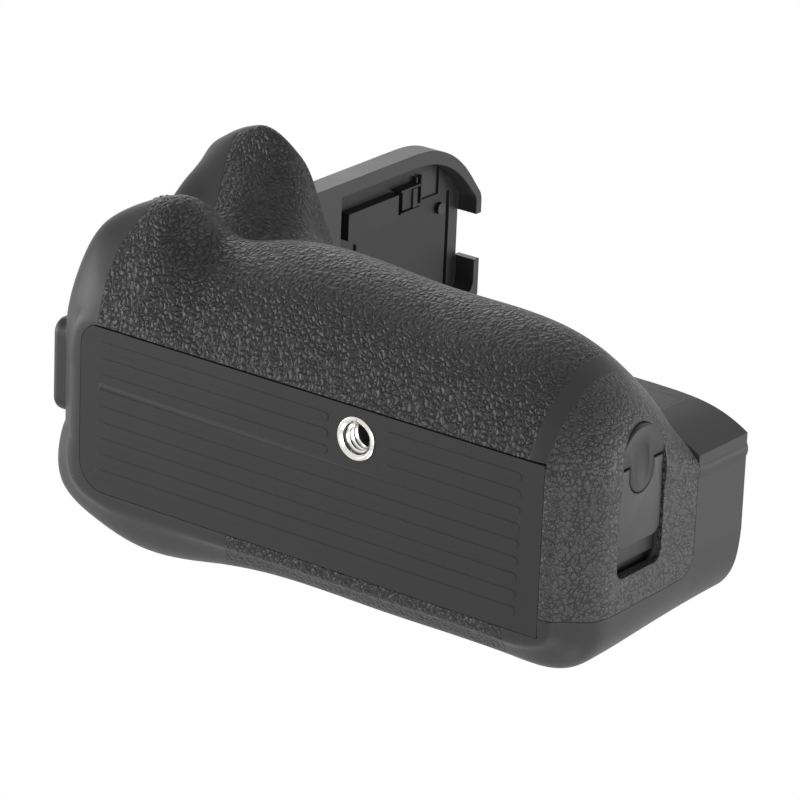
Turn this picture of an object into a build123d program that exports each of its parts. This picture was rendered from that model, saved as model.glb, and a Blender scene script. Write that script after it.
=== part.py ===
from build123d import *
from math import cos, pi, sin, sqrt
import os

os.makedirs("parts", exist_ok=True)

# Driving sizes of the whole grip, in millimetres.
# The origin is the tripod socket's axis on the resting plane, +Z points at the camera,
# +X at the battery door and -Y at the finger side.
plate_length = 109.0
plate_depth = 34.0
plate_thickness = 2.0
plate_front_corner = 4.5
plate_rear_corner = 6.0
socket_from_left = 66.4
socket_from_front = 6.35
body_height = 52.7
front_reach = 19.0
rear_reach = 8.0
side_reach = 9.2
end_reach = 9.5
saddle_depth = 10.0
rubber_thickness = 1.5
shell_wall = 2.0
deck_thickness = 3.0
end_band = 3.6
shell_joint_from_front = 32.5

# Clearances shared by every piece.
overrun = 6.0
seam = 0.12
slip_gap = 0.3
running_gap = 0.05
sprung_gap = 0.2

# Base plate ribs and tripod socket.
rib_height = 0.3
rib_width = 1.7
rib_pitch = 3.3
rib_count = 9
rib_left_margin = 4.0
rib_right_margin = 5.0
rib_socket_gap = 6.6
socket_radius = 3.175
bushing_radius = 4.3
bushing_collar_radius = 6.0
chassis_thickness = 1.5
chassis_margin = 2.6

# Battery door and the magazine behind it.
door_height = 36.7
door_rear_from_front = 30.2
door_corner = 4.0
door_skin_thickness = 1.2
tray_front_overhang = 3.5
tray_width = 32.0
tray_floor = 6.5
tray_height = 23.0
tray_wall = 1.3
tray_from_left = 7.4
battery_length = 43.0
battery_gap = 0.6
catch_wall = 3.2
catch_overhang = 1.8
catch_width = 7.0
catch_thickness = 1.6
liner_wall = 1.0
magazine_screw_radius = 1.1
magazine_screw_head = 2.0
magazine_screw_length = 5.0

# Door latch, measured on the end face.
latch_width = 14.2
latch_low = 11.3
slider_front_from_plate = 2.6
slider_length = 15.4
slider_travel = 5.3
slider_corner = 2.2
slider_thickness = 1.6
slider_shelf = 4.0
latch_sink = 0.5
latch_pocket_depth = 3.6
key_radius = 6.9
tongue_radius = 3.7
tongue_length = 6.0
key_travel = 0.7
key_pin_radius = 1.2
key_pin_length = 3.5
flange_reach = 1.0
stem_width = 3.0
stem_from_front = 10.5
bolt_height = 5.0

# Battery tower that stands in the camera's battery chamber.
tower_height = 56.0
tower_width = 38.4
tower_depth = 20.0
tower_front_overhang = 16.1
tower_rim_from_left = 15.4
tower_rim_depth = 5.2
tower_core_setback = 10.2
tower_corner_rise = 24.0
tower_corner_run = 16.0
tower_back_corner = 3.0
tower_wall = 2.9
tower_end_wall = 1.7
tower_notch_depth = 1.8
recess_start = 8.4
recess_depth = 4.2
panel_thickness = 0.5
panel_length = 41.0
tower_core_step = 2.5
slot_depth = 12.0
tower_cover_thickness = 1.5
tower_foot = 2.0
notch_from_plate = 2.0
notch_length = 10.0
panel_screw_from_plate = -0.3
panel_screw_from_top = 2.6
panel_hole_from_plate = 1.2
panel_hole_start = 18.3
panel_hole_radius = 1.0
ledge_from_plate = -7.9
ledge_width = 5.6
ledge_height = 2.4
ledge_start = 13.3
ledge_end = 29.8
clip_start = 31.6
clip_length = 4.5
clip_width = 4.0
clip_height = 2.0
clip_travel = 1.0
square_from_plate = -9.5
square_width = 6.0
tower_screw_radius = 1.25
contact_length = 6.0
contact_width = 1.4
contact_thickness = 0.4
contact_pitch = 2.6
contact_count = 6

# Camera attachment drive under the deck.
screw_from_socket = 8.0
screw_tip_height = 5.5
screw_shank_radius = 3.4
relief_depth = 0.4
screw_teeth = 22
wheel_teeth = 14
gear_module = 0.8
gear_thickness = 1.8
gear_clearance = 1.5
wheel_radius = 12.4
wheel_thickness = 4.6
wheel_notches = 40
wheel_notch = 0.5
axle_radius = 1.5
journal_radius = 1.2
bracket_thickness = 1.2
post_radius = 1.2
post_front = 2.0
post_rear = 27.0
pin_radius = 1.5
pin_base_radius = 2.0
pin_height = 3.0
pin_from_socket = 22.0
pin_sink = 1.5

# Controls at the shutter end.
pad_front_from_plate = 3.4
pad_width = 19.2
pad_low = 4.5
pad_high = 40.0
pad_height = 2.0
pad_corner = 3.0
pad_edge = 1.6
hub_wall = 1.0
ring_sink = 1.0
shutter_lip = 2.6
shutter_well = 5.8
shutter_stem = 2.5
shutter_from_front = 11.0
shutter_height = 27.0
shutter_radius = 4.6
shutter_proud = 1.3
shutter_travel = 0.9
ring_width = 2.0
ring_proud = 0.8
lever_length = 2.2
dial_width = 3.6
dial_from_left = 2.2
dial_teeth = 32
dial_notch = 0.45
front_dial_radius = 10.0
front_dial_height = 22.0
front_dial_crest = 16.0
front_dial_sink = 0.6
rear_dial_radius = 8.0
rear_dial_height = 27.0
rear_dial_proud = 1.3
dial_axle_radius = 1.2
dial_ear = 1.4

# Buttons and stick on the thumb side.
button_radius = 3.2
button_proud = 0.8
button_travel = 0.6
button_flange = 0.7
button_lip = 2.2
flange_overlap = 0.7
stick_radius = 3.6
stick_hole = 3.2
stick_neck = 1.3
stick_proud = 2.2
stick_recess = 0.7
stick_lift = 0.6
gimbal_bore = 2.2
gimbal_outer = 3.0
gimbal_height = 1.6
gimbal_lift = 1.4
gimbal_wall = 1.0
switch_board_thickness = 1.0

# Electronics over the battery bay.
board_thickness = 1.2
board_gap = 2.2
board_from_left = 26.0
board_from_edge = 7.0
board_edge = 2.5
contact_block_thickness = 3.0
boss_radius = 3.2
boss_height = 10.0
standoff_radius = 2.2
small_screw_radius = 0.9
small_screw_head = 1.8
small_screw_head_height = 0.9
deck_screw_radius = 1.2
deck_screw_head = 2.2
cable_width = 7.0
cable_thickness = 0.3

plate_left = -socket_from_left
plate_front = -socket_from_front
plate_right = plate_left + plate_length
plate_rear = plate_front + plate_depth
end_face = plate_right + end_reach
left_face = plate_left - side_reach
plate_top = rib_height + plate_thickness
chassis_top = plate_top + chassis_thickness
deck_bottom = body_height - deck_thickness
shell_joint = plate_front + shell_joint_from_front
band_left = plate_right - end_band
door_left = plate_right + seam
door_rear = plate_front + door_rear_from_front
tower_top = body_height + tower_height


# Outer form of the body, as rows of (base, crest, top, crest level, join level, saddle, inward).
# The first number of a pair runs 0 to 1 along the plate, below 0 over the left overhang and
# from 1 to 2 over the right one. The second runs 0 to 1 across the plate and beyond it by reaches.
front_shares = [
    ((0.0, 0.30), (-1.0, 0.30), (-1.0, 0.30), 0.17, 1.0, 0.0, (1, 0)),
    ((0.0, 0.15), (-1.0, 0.05), (-1.0, 0.02), 0.17, 1.0, 0.0, (1, 0)),
    ((0.012, 0.035), (-0.90, -0.30), (-1.0, -0.47), 0.20, 1.0, 0.15, (0.9, 0.4)),
    ((0.05, 0.0), (-0.42, -0.885), (-1.0, -1.06), 0.26, 1.0, 0.6, (0.7, 0.7)),
    ((0.08, 0.0), (0.03, -1.12), (-0.52, -1.28), 0.32, 1.0, 0.95, (0.5, 0.85)),
    ((0.12, 0.0), (0.11, -1.24), (0.037, -1.35), 0.36, 1.0, 0.95, (0.0, 1)),
    ((0.18, 0.0), (0.178, -0.93), (0.105, -1.20), 0.38, 1.0, 0.65, (-0.3, 1)),
    ((0.28, 0.0), (0.265, -0.935), (0.154, -0.70), 0.42, 0.97, 0.3, (-0.6, 0.8)),
    ((0.44, 0.0), (0.44, -1.0), (0.245, 0.02), 0.42, 0.93, 0.0, (0, 1)),
    ((0.62, 0.0), (0.64, -0.945), (0.45, 0.15), 0.42, 0.90, 0.0, (0, 1)),
    ((0.80, 0.0), (0.83, -0.94), (0.70, 0.15), 0.41, 0.87, 0.0, (0, 1)),
    ((0.91, 0.0), (0.93, -0.85), (0.88, 0.16), 0.39, 0.83, 0.0, (0, 1)),
    ((0.97, 0.006), (1.0, -0.67), (0.99, 0.18), 0.36, 0.79, 0.0, (-0.2, 1)),
    ((0.993, 0.04), (1.68, -0.40), (1.72, 0.20), 0.28, 0.71, 0.0, (-0.5, 0.85)),
    ((1.0, 0.12), (2.0, 0.0), (2.0, 0.25), 0.18, 0.70, 0.0, (-1, 0)),
    ((1.0, 0.25), (2.0, 0.22), (2.0, 0.33), 0.18, 0.70, 0.0, (-1, 0)),
]
rear_shares = [
    ((1.0, 0.74), (2.0, 0.74), (2.0, 0.60), 0.18, 1.0, 0.0, (-1, 0)),
    ((1.0, 0.87), (2.0, 0.90), (1.99, 0.75), 0.18, 1.0, 0.0, (-1, 0)),
    ((0.992, 0.965), (1.84, 1.34), (1.88, 0.955), 0.17, 1.0, 0.0, (-0.85, -0.5)),
    ((0.955, 1.0), (1.27, 1.97), (1.48, 1.62), 0.17, 1.0, 0.0, (-0.5, -0.85)),
    ((0.88, 1.0), (0.93, 2.10), (0.93, 1.85), 0.17, 1.0, 0.0, (0, -1)),
    ((0.64, 1.0), (0.64, 2.09), (0.64, 1.80), 0.17, 1.0, 0.0, (0, -1)),
    ((0.40, 1.0), (0.40, 2.10), (0.40, 1.75), 0.17, 1.0, 0.0, (0, -1)),
    ((0.29, 1.0), (0.29, 2.30), (0.29, 1.80), 0.18, 1.0, 0.0, (0, -1)),
    ((0.19, 1.0), (0.18, 2.62), (0.19, 2.0), 0.20, 1.0, 0.0, (0, -1)),
    ((0.11, 1.0), (0.08, 2.66), (0.09, 2.0), 0.20, 1.0, 0.0, (0.2, -1)),
    ((0.055, 0.995), (-0.14, 2.28), (-0.05, 1.70), 0.19, 1.0, 0.0, (0.4, -0.9)),
    ((0.013, 0.93), (-1.16, 1.44), (-0.95, 1.10), 0.18, 1.0, 0.0, (0.8, -0.5)),
    ((0.0, 0.83), (-1.20, 0.88), (-1.02, 0.80), 0.17, 1.0, 0.0, (1, 0)),
    ((0.0, 0.72), (-1.0, 0.70), (-1.0, 0.68), 0.17, 1.0, 0.0, (1, 0)),
]
level_shares = [0.0, 0.03, 0.08, 0.14, 0.21, 0.30, 0.41, 0.53, 0.65, 0.77, 0.89, 1.0]
edge_share = 0.10
recede_share = 1.7
saddle_share = 0.72


def spot(along, across):
    """Turn shares along and across the plate into a place in the plan."""
    x = plate_left + along * plate_length
    if along < 0:
        x = plate_left + along * side_reach
    if along > 1:
        x = plate_right + (along - 1) * end_reach
    y = plate_front + across * plate_depth
    if across < 0:
        y = plate_front + across * front_reach
    if across > 1:
        y = plate_rear + (across - 1) * rear_reach
    return x, y


def outline_spot(row, level, inset):
    """Place one point of the plan outline at a level of the body."""
    base, crest, top, crest_share, join_share, saddle, inward = row
    rise = (level - rib_height) / (body_height - rib_height)
    dent = 0
    if rise < crest_share:
        start_swell = sqrt(1 - (1 - edge_share) ** 2)
        left_over = (1 - edge_share) * (1 - rise / crest_share)
        part = (sqrt(1 - left_over ** 2) - start_swell) / (1 - start_swell)
        start = spot(*base)
        goal = spot(*crest)
    else:
        climb = min(1, (rise - crest_share) / (join_share - crest_share))
        part = climb ** recede_share if join_share < 1 else climb * climb * (3 - 2 * climb)
        start = spot(*crest)
        goal = spot(*top)
        dent = saddle * saddle_depth * sin(pi * climb ** saddle_share) ** 2
    x = start[0] + part * (goal[0] - start[0])
    y = start[1] + part * (goal[1] - start[1]) + dent
    return x + inset * inward[0], y + inset * inward[1]


def body_form(inset):
    """Loft the body through plan outlines, each drawn in by the inset."""
    with BuildPart() as form:
        for share in level_shares:
            level = rib_height + share * (body_height - rib_height)
            front = [outline_spot(row, level, inset) for row in front_shares]
            rear = [outline_spot(row, level, inset) for row in rear_shares]
            with BuildSketch(Plane.XY.offset(level)):
                with BuildLine():
                    Spline(*front)
                    Line(front[-1], rear[0])
                    Spline(*rear)
                    Line(rear[-1], front[0])
                make_face()
        loft()
    return form.part


def face_y(rows, x, level):
    """Find the body's surface across the plan at a place along it."""
    spots = sorted(outline_spot(row, level, 0) for row in rows)
    for near, far in zip(spots, spots[1:]):
        if near[0] <= x <= far[0]:
            part = (x - near[0]) / (far[0] - near[0])
            return near[1] + part * (far[1] - near[1])
    return spots[0][1]


def block(x_span, y_span, z_span, corner=0):
    """Make a box between two places on each axis, with its upright edges rounded."""
    length = x_span[1] - x_span[0]
    depth = y_span[1] - y_span[0]
    with BuildPart() as made:
        with BuildSketch(Plane.XY.offset(z_span[0])):
            with Locations(((x_span[0] + x_span[1]) / 2, (y_span[0] + y_span[1]) / 2)):
                if corner:
                    RectangleRounded(length, depth, corner)
                else:
                    Rectangle(length, depth)
        extrude(amount=z_span[1] - z_span[0])
    return made.part


def end_prism(x_span, y_span, z_span, corner=0):
    """Make a box whose rounded edges run along X."""
    with BuildPart() as made:
        with BuildSketch(Plane.YZ.offset(x_span[0])):
            with Locations(((y_span[0] + y_span[1]) / 2, (z_span[0] + z_span[1]) / 2)):
                if corner:
                    RectangleRounded(y_span[1] - y_span[0], z_span[1] - z_span[0], corner)
                else:
                    Rectangle(y_span[1] - y_span[0], z_span[1] - z_span[0])
        extrude(amount=x_span[1] - x_span[0])
    return made.part


def upright(x, y, z_span, radius):
    """Make a cylinder that stands along Z."""
    with BuildPart() as made:
        with BuildSketch(Plane.XY.offset(z_span[0])):
            with Locations((x, y)):
                Circle(radius)
        extrude(amount=z_span[1] - z_span[0])
    return made.part


def level_pin(x_span, y, z, radius):
    """Make a cylinder that lies along X."""
    with BuildPart() as made:
        with BuildSketch(Plane.YZ.offset(x_span[0])):
            with Locations((y, z)):
                Circle(radius)
        extrude(amount=x_span[1] - x_span[0])
    return made.part


def cross_pin(x, y_span, z, radius):
    """Make a cylinder that lies along Y."""
    with BuildPart() as made:
        with BuildSketch(Plane.XZ.offset(-y_span[0])):
            with Locations((x, z)):
                Circle(radius)
        extrude(amount=-(y_span[1] - y_span[0]))
    return made.part


def plate_space(margin, z_span):
    """Make the base plate's outline, grown by a margin, as a solid."""
    with BuildPart() as made:
        with BuildSketch(Plane.XY.offset(z_span[0])) as outline:
            with Locations(((plate_left + plate_right) / 2, (plate_front + plate_rear) / 2)):
                Rectangle(plate_length, plate_depth)
            left = outline.vertices().group_by(Axis.X)[0].sort_by(Axis.Y)
            fillet(left[0], plate_front_corner)
            left = outline.vertices().group_by(Axis.Y)[-1].sort_by(Axis.X)
            fillet(left[0], plate_rear_corner)
            if margin:
                offset(amount=margin)
        extrude(amount=z_span[1] - z_span[0])
    return made.part


# The body's solid forms: the outside, the seat of the rubber and the hollow.
lower_form = body_form(0)
seat_form = body_form(rubber_thickness)
hollow_form = body_form(rubber_thickness + shell_wall)

upper_shares = [(0.10, 0.12), (0.2, 0.065), (0.5, 0.065), (0.8, 0.065), (0.93, 0.066)]
upper_corner_shares = [(1.25, 0.10), (1.7, 0.145), (2.0, 0.19)]
upper_end_shares = [(2.0, 0.76), (1.95, 0.90), (1.84, 1.06), (1.48, 1.62), (1.2, 1.80), (0.93, 1.85)]
upper_low_share = 0.62

with BuildPart() as upper_form:
    with BuildSketch(Plane.XY.offset(upper_low_share * body_height)):
        upper_front = [spot(*share) for share in upper_shares + upper_corner_shares]
        upper_end = [spot(*share) for share in upper_end_shares]
        upper_back = (upper_front[0][0], upper_end[-1][1])
        with BuildLine():
            Spline(*upper_front)
            Line(upper_front[-1], upper_end[0])
            Spline(*upper_end)
            Polyline(upper_end[-1], upper_back, upper_front[0])
        make_face()
    extrude(amount=(1 - upper_low_share) * body_height)

with BuildPart() as outer_form:
    add(lower_form)
    add(upper_form.part)

# Shared spaces that several pieces are cut by.
far = plate_length
plate_pocket = plate_space(seam, (-overrun, plate_top))
chassis_x = (plate_left + 2 * chassis_margin, band_left - slip_gap)
chassis_y = (plate_front + chassis_margin, plate_rear - chassis_margin)
chassis_pocket = block(chassis_x, chassis_y, (plate_top - overrun, chassis_top))

tray_front = plate_front - tray_front_overhang
tray_rear = tray_front + tray_width
tray_top = tray_floor + tray_height
tray_left = plate_left + tray_from_left
liner_front = tray_front - slip_gap - liner_wall
liner_rear = tray_rear + slip_gap + liner_wall
liner_bottom = tray_floor - slip_gap - liner_wall
liner_top = tray_top + slip_gap + liner_wall
liner_left = tray_left - slip_gap - liner_wall
bay_space = block(
    (liner_left + liner_wall, door_left + overrun),
    (liner_front + liner_wall, liner_rear - liner_wall),
    (liner_bottom + liner_wall, liner_top - liner_wall),
)
door_space = end_prism(
    (door_left, end_face + overrun), (plate_front - far, door_rear), (-far, door_height), door_corner
)
door_body_space = end_prism(
    (door_left, end_face + overrun),
    (plate_front - far, door_rear - seam),
    (-far, door_height - seam),
    door_corner - seam,
)

# Rubber on the finger side: its edge follows the shutter end, then the camera grip's nose.
rubber_edge_shares = [
    (0.066, -0.10), (0.040, 0.15), (0.053, 0.25), (0.049, 0.47), (0.035, 0.68), (-0.12, 0.86), (-0.25, 0.935),
]
nose_cap_shares = [(0.013, 0.95), (0.040, 1.02)]
nose_right_share = 0.235
rubber_top_share = 0.86
with BuildPart() as rubber_space:
    with BuildSketch(Plane.XZ.offset(-plate_front)):
        edge_spots = [(spot(a, 0)[0], level * body_height) for a, level in rubber_edge_shares]
        cap_spots = [(spot(a, 0)[0], level * body_height) for a, level in nose_cap_shares]
        nose_right = spot(nose_right_share, 0)[0]
        with BuildLine():
            Spline(*edge_spots)
            Polyline(
                edge_spots[-1],
                *cap_spots,
                (nose_right, cap_spots[-1][1]),
                (nose_right, rubber_top_share * body_height),
                (band_left, rubber_top_share * body_height),
                (band_left, edge_spots[0][1]),
                edge_spots[0],
            )
        make_face()
    extrude(amount=front_reach * 2)
    extrude(rubber_space.faces().sort_by(Axis.Y)[-1], amount=socket_from_front)

front_dial_y = face_y(front_shares[2:], plate_left + dial_from_left, front_dial_crest)
front_dial_y = front_dial_y + front_dial_sink + front_dial_radius
rear_dial_y = face_y(rear_shares[5:], plate_left + dial_from_left, rear_dial_height)
rear_dial_y = rear_dial_y + rear_dial_proud - rear_dial_radius
dial_x = plate_left + dial_from_left
dial_half = dial_width / 2
front_dial_space = level_pin(
    (dial_x - dial_half - slip_gap, dial_x + dial_half + slip_gap),
    front_dial_y,
    front_dial_height,
    front_dial_radius + slip_gap,
)
rear_dial_space = level_pin(
    (dial_x - dial_half - slip_gap, dial_x + dial_half + slip_gap),
    rear_dial_y,
    rear_dial_height,
    rear_dial_radius + slip_gap,
)

with BuildPart() as front_grip_rubber:
    add(lower_form)
    add(rubber_space.part, mode=Mode.INTERSECT)
    add(seat_form, mode=Mode.SUBTRACT)
    add(upper_form.part, mode=Mode.SUBTRACT)
    add(plate_pocket, mode=Mode.SUBTRACT)
    add(front_dial_space, mode=Mode.SUBTRACT)
front_grip_rubber.part.label = "front_grip_rubber"

rear_rubber_shares = [
    (0.335, -0.10), (0.335, 0.0), (0.285, 0.17), (0.285, 0.68), (0.90, 0.68), (0.90, 0.17), (0.93, 0.0), (0.93, -0.10),
]
with BuildPart() as rear_grip_rubber:
    with BuildSketch(Plane.XZ.offset(-plate_rear - far)):
        with BuildLine():
            Polyline(*[(spot(a, 0)[0], level * body_height) for a, level in rear_rubber_shares], close=True)
        make_face()
    extrude(amount=far + socket_from_front)
    add(lower_form, mode=Mode.INTERSECT)
    add(seat_form, mode=Mode.SUBTRACT)
    add(plate_pocket, mode=Mode.SUBTRACT)
rear_grip_rubber.part.label = "rear_grip_rubber"

export_step(front_grip_rubber.part, "parts/front_grip_rubber.step")
export_step(rear_grip_rubber.part, "parts/rear_grip_rubber.step")

# Underside: ribbed plate, tripod bushing and the chassis that the bushing pulls on.
rib_left = plate_left + rib_left_margin
rib_right = plate_right - rib_right_margin
rib_middle = (plate_front + plate_rear) / 2
with BuildPart() as base_plate:
    add(plate_space(0, (rib_height, plate_top)))
    with BuildSketch(Plane.XY):
        for row in range(rib_count):
            rib_y = rib_middle + (row - (rib_count - 1) / 2) * rib_pitch
            spans = [(rib_left, rib_right)]
            if abs(rib_y) < rib_socket_gap - rib_width / 2:
                spans = [(rib_left, -rib_socket_gap), (rib_socket_gap, rib_right)]
            for start, stop in spans:
                with Locations(((start + stop) / 2, rib_y)):
                    SlotOverall(stop - start, rib_width)
    extrude(amount=rib_height)
    add(upright(0, 0, (-overrun, plate_top + overrun), bushing_radius + running_gap), mode=Mode.SUBTRACT)
base_plate.part.label = "base_plate"
export_step(base_plate.part, "parts/base_plate.step")

with BuildPart() as chassis_plate:
    add(block(chassis_x, chassis_y, (plate_top, chassis_top)))
    add(upright(0, 0, (0, chassis_top + overrun), bushing_radius + running_gap), mode=Mode.SUBTRACT)
chassis_plate.part.label = "chassis_plate"
export_step(chassis_plate.part, "parts/chassis_plate.step")

with BuildPart() as tripod_bushing:
    add(upright(0, 0, (0, chassis_top), bushing_radius))
    add(upright(0, 0, (chassis_top, liner_bottom), bushing_collar_radius))
    add(upright(0, 0, (-overrun, liner_bottom + overrun), socket_radius), mode=Mode.SUBTRACT)
tripod_bushing.part.label = "tripod_bushing"
export_step(tripod_bushing.part, "parts/tripod_bushing.step")

# Battery bay: the liner is the box that the magazine slides in, with standoffs for the board.
board_x = (plate_left + board_from_left, band_left - overrun)
board_y = (plate_front + board_from_edge, plate_rear - board_edge)
board_bottom = liner_top + board_gap
board_top = board_bottom + board_thickness
board_screw_spots = [
    (x, y)
    for x in (board_x[0] + standoff_radius, board_x[1] - standoff_radius)
    for y in (board_y[0] + standoff_radius, board_y[1] - standoff_radius)
]
bay_contact_z = (tray_floor + tray_height / 2 - contact_pitch, tray_floor + tray_height / 2 + contact_pitch)
bay_contact_y = [
    (tray_front + tray_rear) / 2 + (place - (contact_count - 1) / 2) * contact_pitch
    for place in range(contact_count)
]
with BuildPart() as bay_liner:
    add(block((liner_left, band_left), (liner_front, liner_rear), (liner_bottom, liner_top)))
    for x, y in board_screw_spots:
        add(upright(x, y, (liner_top, board_bottom), standoff_radius))
        add(upright(x, y, (liner_top - liner_wall / 2, board_bottom), small_screw_radius), mode=Mode.SUBTRACT)
    add(bay_space, mode=Mode.SUBTRACT)
    for y in bay_contact_y:
        for z in bay_contact_z:
            add(
                level_pin((liner_left - overrun, liner_left + liner_wall), y, z, contact_width / 2),
                mode=Mode.SUBTRACT,
            )
bay_liner.part.label = "bay_liner"
export_step(bay_liner.part, "parts/bay_liner.step")

with BuildPart() as bay_contact_block:
    add(
        block(
            (liner_left - contact_block_thickness, liner_left),
            (bay_contact_y[0] - contact_pitch, bay_contact_y[-1] + contact_pitch),
            (bay_contact_z[0] - contact_pitch, bay_contact_z[1] + contact_pitch),
        )
    )
bay_contact_block.part.label = "bay_contact_block"
export_step(bay_contact_block.part, "parts/bay_contact_block.step")

with BuildPart() as bay_contact_pins:
    for y in bay_contact_y:
        for z in bay_contact_z:
            add(level_pin((liner_left, tray_left - contact_thickness - seam), y, z, contact_width / 2))
bay_contact_pins.part.label = "bay_contact_pins"
export_step(bay_contact_pins.part, "parts/bay_contact_pins.step")

# Hollow of the shells, with room for the boards above the liner.
liner_space = block((liner_left - seam, band_left), (liner_front - seam, liner_rear), (liner_bottom, liner_top))
upper_hollow_front = upper_front[2][1] + shell_wall
upper_hollow = block(
    (nose_right, band_left), (upper_hollow_front, shell_joint + seam), (liner_top, deck_bottom)
)
with BuildPart() as shell_hollow:
    add(hollow_form)
    add(block((left_face - overrun, band_left), (-far, far), (chassis_top, deck_bottom)), mode=Mode.INTERSECT)
    add(upper_hollow)

# Places of the deck screws and of the bosses in the shells that take them.
front_boss_share = 0.31
rear_boss_along_share = 0.41
rear_boss_share = 0.99
front_boss_y = upper_hollow_front + boss_radius - shell_wall / 2
rear_boss_y = spot(0, rear_boss_share)[1]
deck_screw_spots = [
    (spot(front_boss_share, 0)[0], front_boss_y),
    (band_left - boss_radius - overrun / 2, front_boss_y),
    (spot(rear_boss_along_share, 0)[0], rear_boss_y),
    (band_left - boss_radius - overrun / 2, rear_boss_y),
]


def add_bosses(spots):
    """Stand screw bosses under the deck and drill them."""
    for x, y in spots:
        add(upright(x, y, (deck_bottom - boss_height, deck_bottom), boss_radius))
        add(upright(x, y, (deck_bottom - boss_height / 2, deck_bottom), deck_screw_radius), mode=Mode.SUBTRACT)


# Shutter end: a raised pad on the left face carries the release and its lock ring.
pad_face = left_face - pad_height
pad_y = (plate_front + pad_front_from_plate, plate_front + pad_front_from_plate + pad_width)
shutter_y = plate_front + shutter_from_front
hub_radius = shutter_radius + sprung_gap + hub_wall
ring_bore = hub_radius + running_gap
ring_radius = ring_bore + ring_width
flange_x = pad_face + shutter_lip
with BuildPart() as shutter_pad:
    add(end_prism((pad_face, left_face + shell_wall), pad_y, (pad_low, pad_high), pad_corner))
    fillet(shutter_pad.faces().sort_by(Axis.X)[0].edges(), pad_edge)

with BuildPart() as front_shell:
    add(outer_form.part)
    add(
        block((left_face - far, band_left), (-far, shell_joint), (-far, deck_bottom)),
        mode=Mode.INTERSECT,
    )
    add(shell_hollow.part, mode=Mode.SUBTRACT)
    add(shutter_pad.part)
    add_bosses(deck_screw_spots[:2])
    add(front_grip_rubber.part, mode=Mode.SUBTRACT)
    add(plate_pocket, mode=Mode.SUBTRACT)
    add(chassis_pocket, mode=Mode.SUBTRACT)
    add(liner_space, mode=Mode.SUBTRACT)
    add(upright(0, 0, (-overrun, chassis_top), bushing_radius + running_gap), mode=Mode.SUBTRACT)
    add(upright(0, 0, (chassis_top, liner_bottom), bushing_collar_radius + running_gap), mode=Mode.SUBTRACT)
    add(front_dial_space, mode=Mode.SUBTRACT)
    add(
        level_pin(
            (pad_face - overrun, left_face + far / 2), shutter_y, shutter_height, shutter_radius + sprung_gap
        ),
        mode=Mode.SUBTRACT,
    )
    add(
        level_pin((flange_x, left_face + overrun), shutter_y, shutter_height, shutter_well),
        mode=Mode.SUBTRACT,
    )
    with BuildSketch(Plane.YZ.offset(pad_face)):
        with Locations((shutter_y, shutter_height)):
            Circle(ring_radius + running_gap)
            Circle(hub_radius, mode=Mode.SUBTRACT)
    extrude(amount=ring_sink, mode=Mode.SUBTRACT)
front_shell.part.label = "front_shell"
export_step(front_shell.part, "parts/front_shell.step")

with BuildPart() as shutter_button:
    add(level_pin((pad_face - shutter_proud, flange_x), shutter_y, shutter_height, shutter_radius))
    fillet(shutter_button.faces().sort_by(Axis.X)[0].edges(), shutter_proud / 2)
    add(
        level_pin(
            (flange_x + running_gap, flange_x + running_gap + button_flange),
            shutter_y,
            shutter_height,
            shutter_well - sprung_gap,
        )
    )
    add(level_pin((flange_x, flange_x + shutter_stem), shutter_y, shutter_height, stick_neck))
shutter_button.part.label = "shutter_button"
export_step(shutter_button.part, "parts/shutter_button.step")

switch_x = flange_x + shutter_stem + shutter_travel + sprung_gap
with BuildPart() as shutter_switch:
    add(
        level_pin(
            (switch_x, switch_x + switch_board_thickness), shutter_y, shutter_height, shutter_well - running_gap
        )
    )
shutter_switch.part.label = "shutter_switch"
export_step(shutter_switch.part, "parts/shutter_switch.step")

with BuildPart() as power_ring:
    with BuildSketch(Plane.YZ.offset(pad_face - ring_proud)):
        with Locations((shutter_y, shutter_height)):
            Circle(ring_radius)
            with Locations((0, ring_radius)):
                RectangleRounded(ring_width, 2 * lever_length, ring_width / 3)
            Circle(ring_bore, mode=Mode.SUBTRACT)
    extrude(amount=ring_proud - running_gap)
    with BuildSketch(Plane.YZ.offset(pad_face - running_gap)):
        with Locations((shutter_y, shutter_height)):
            Circle(ring_radius)
            Circle(ring_bore, mode=Mode.SUBTRACT)
    extrude(amount=ring_sink)
power_ring.part.label = "power_ring"
export_step(power_ring.part, "parts/power_ring.step")

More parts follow.
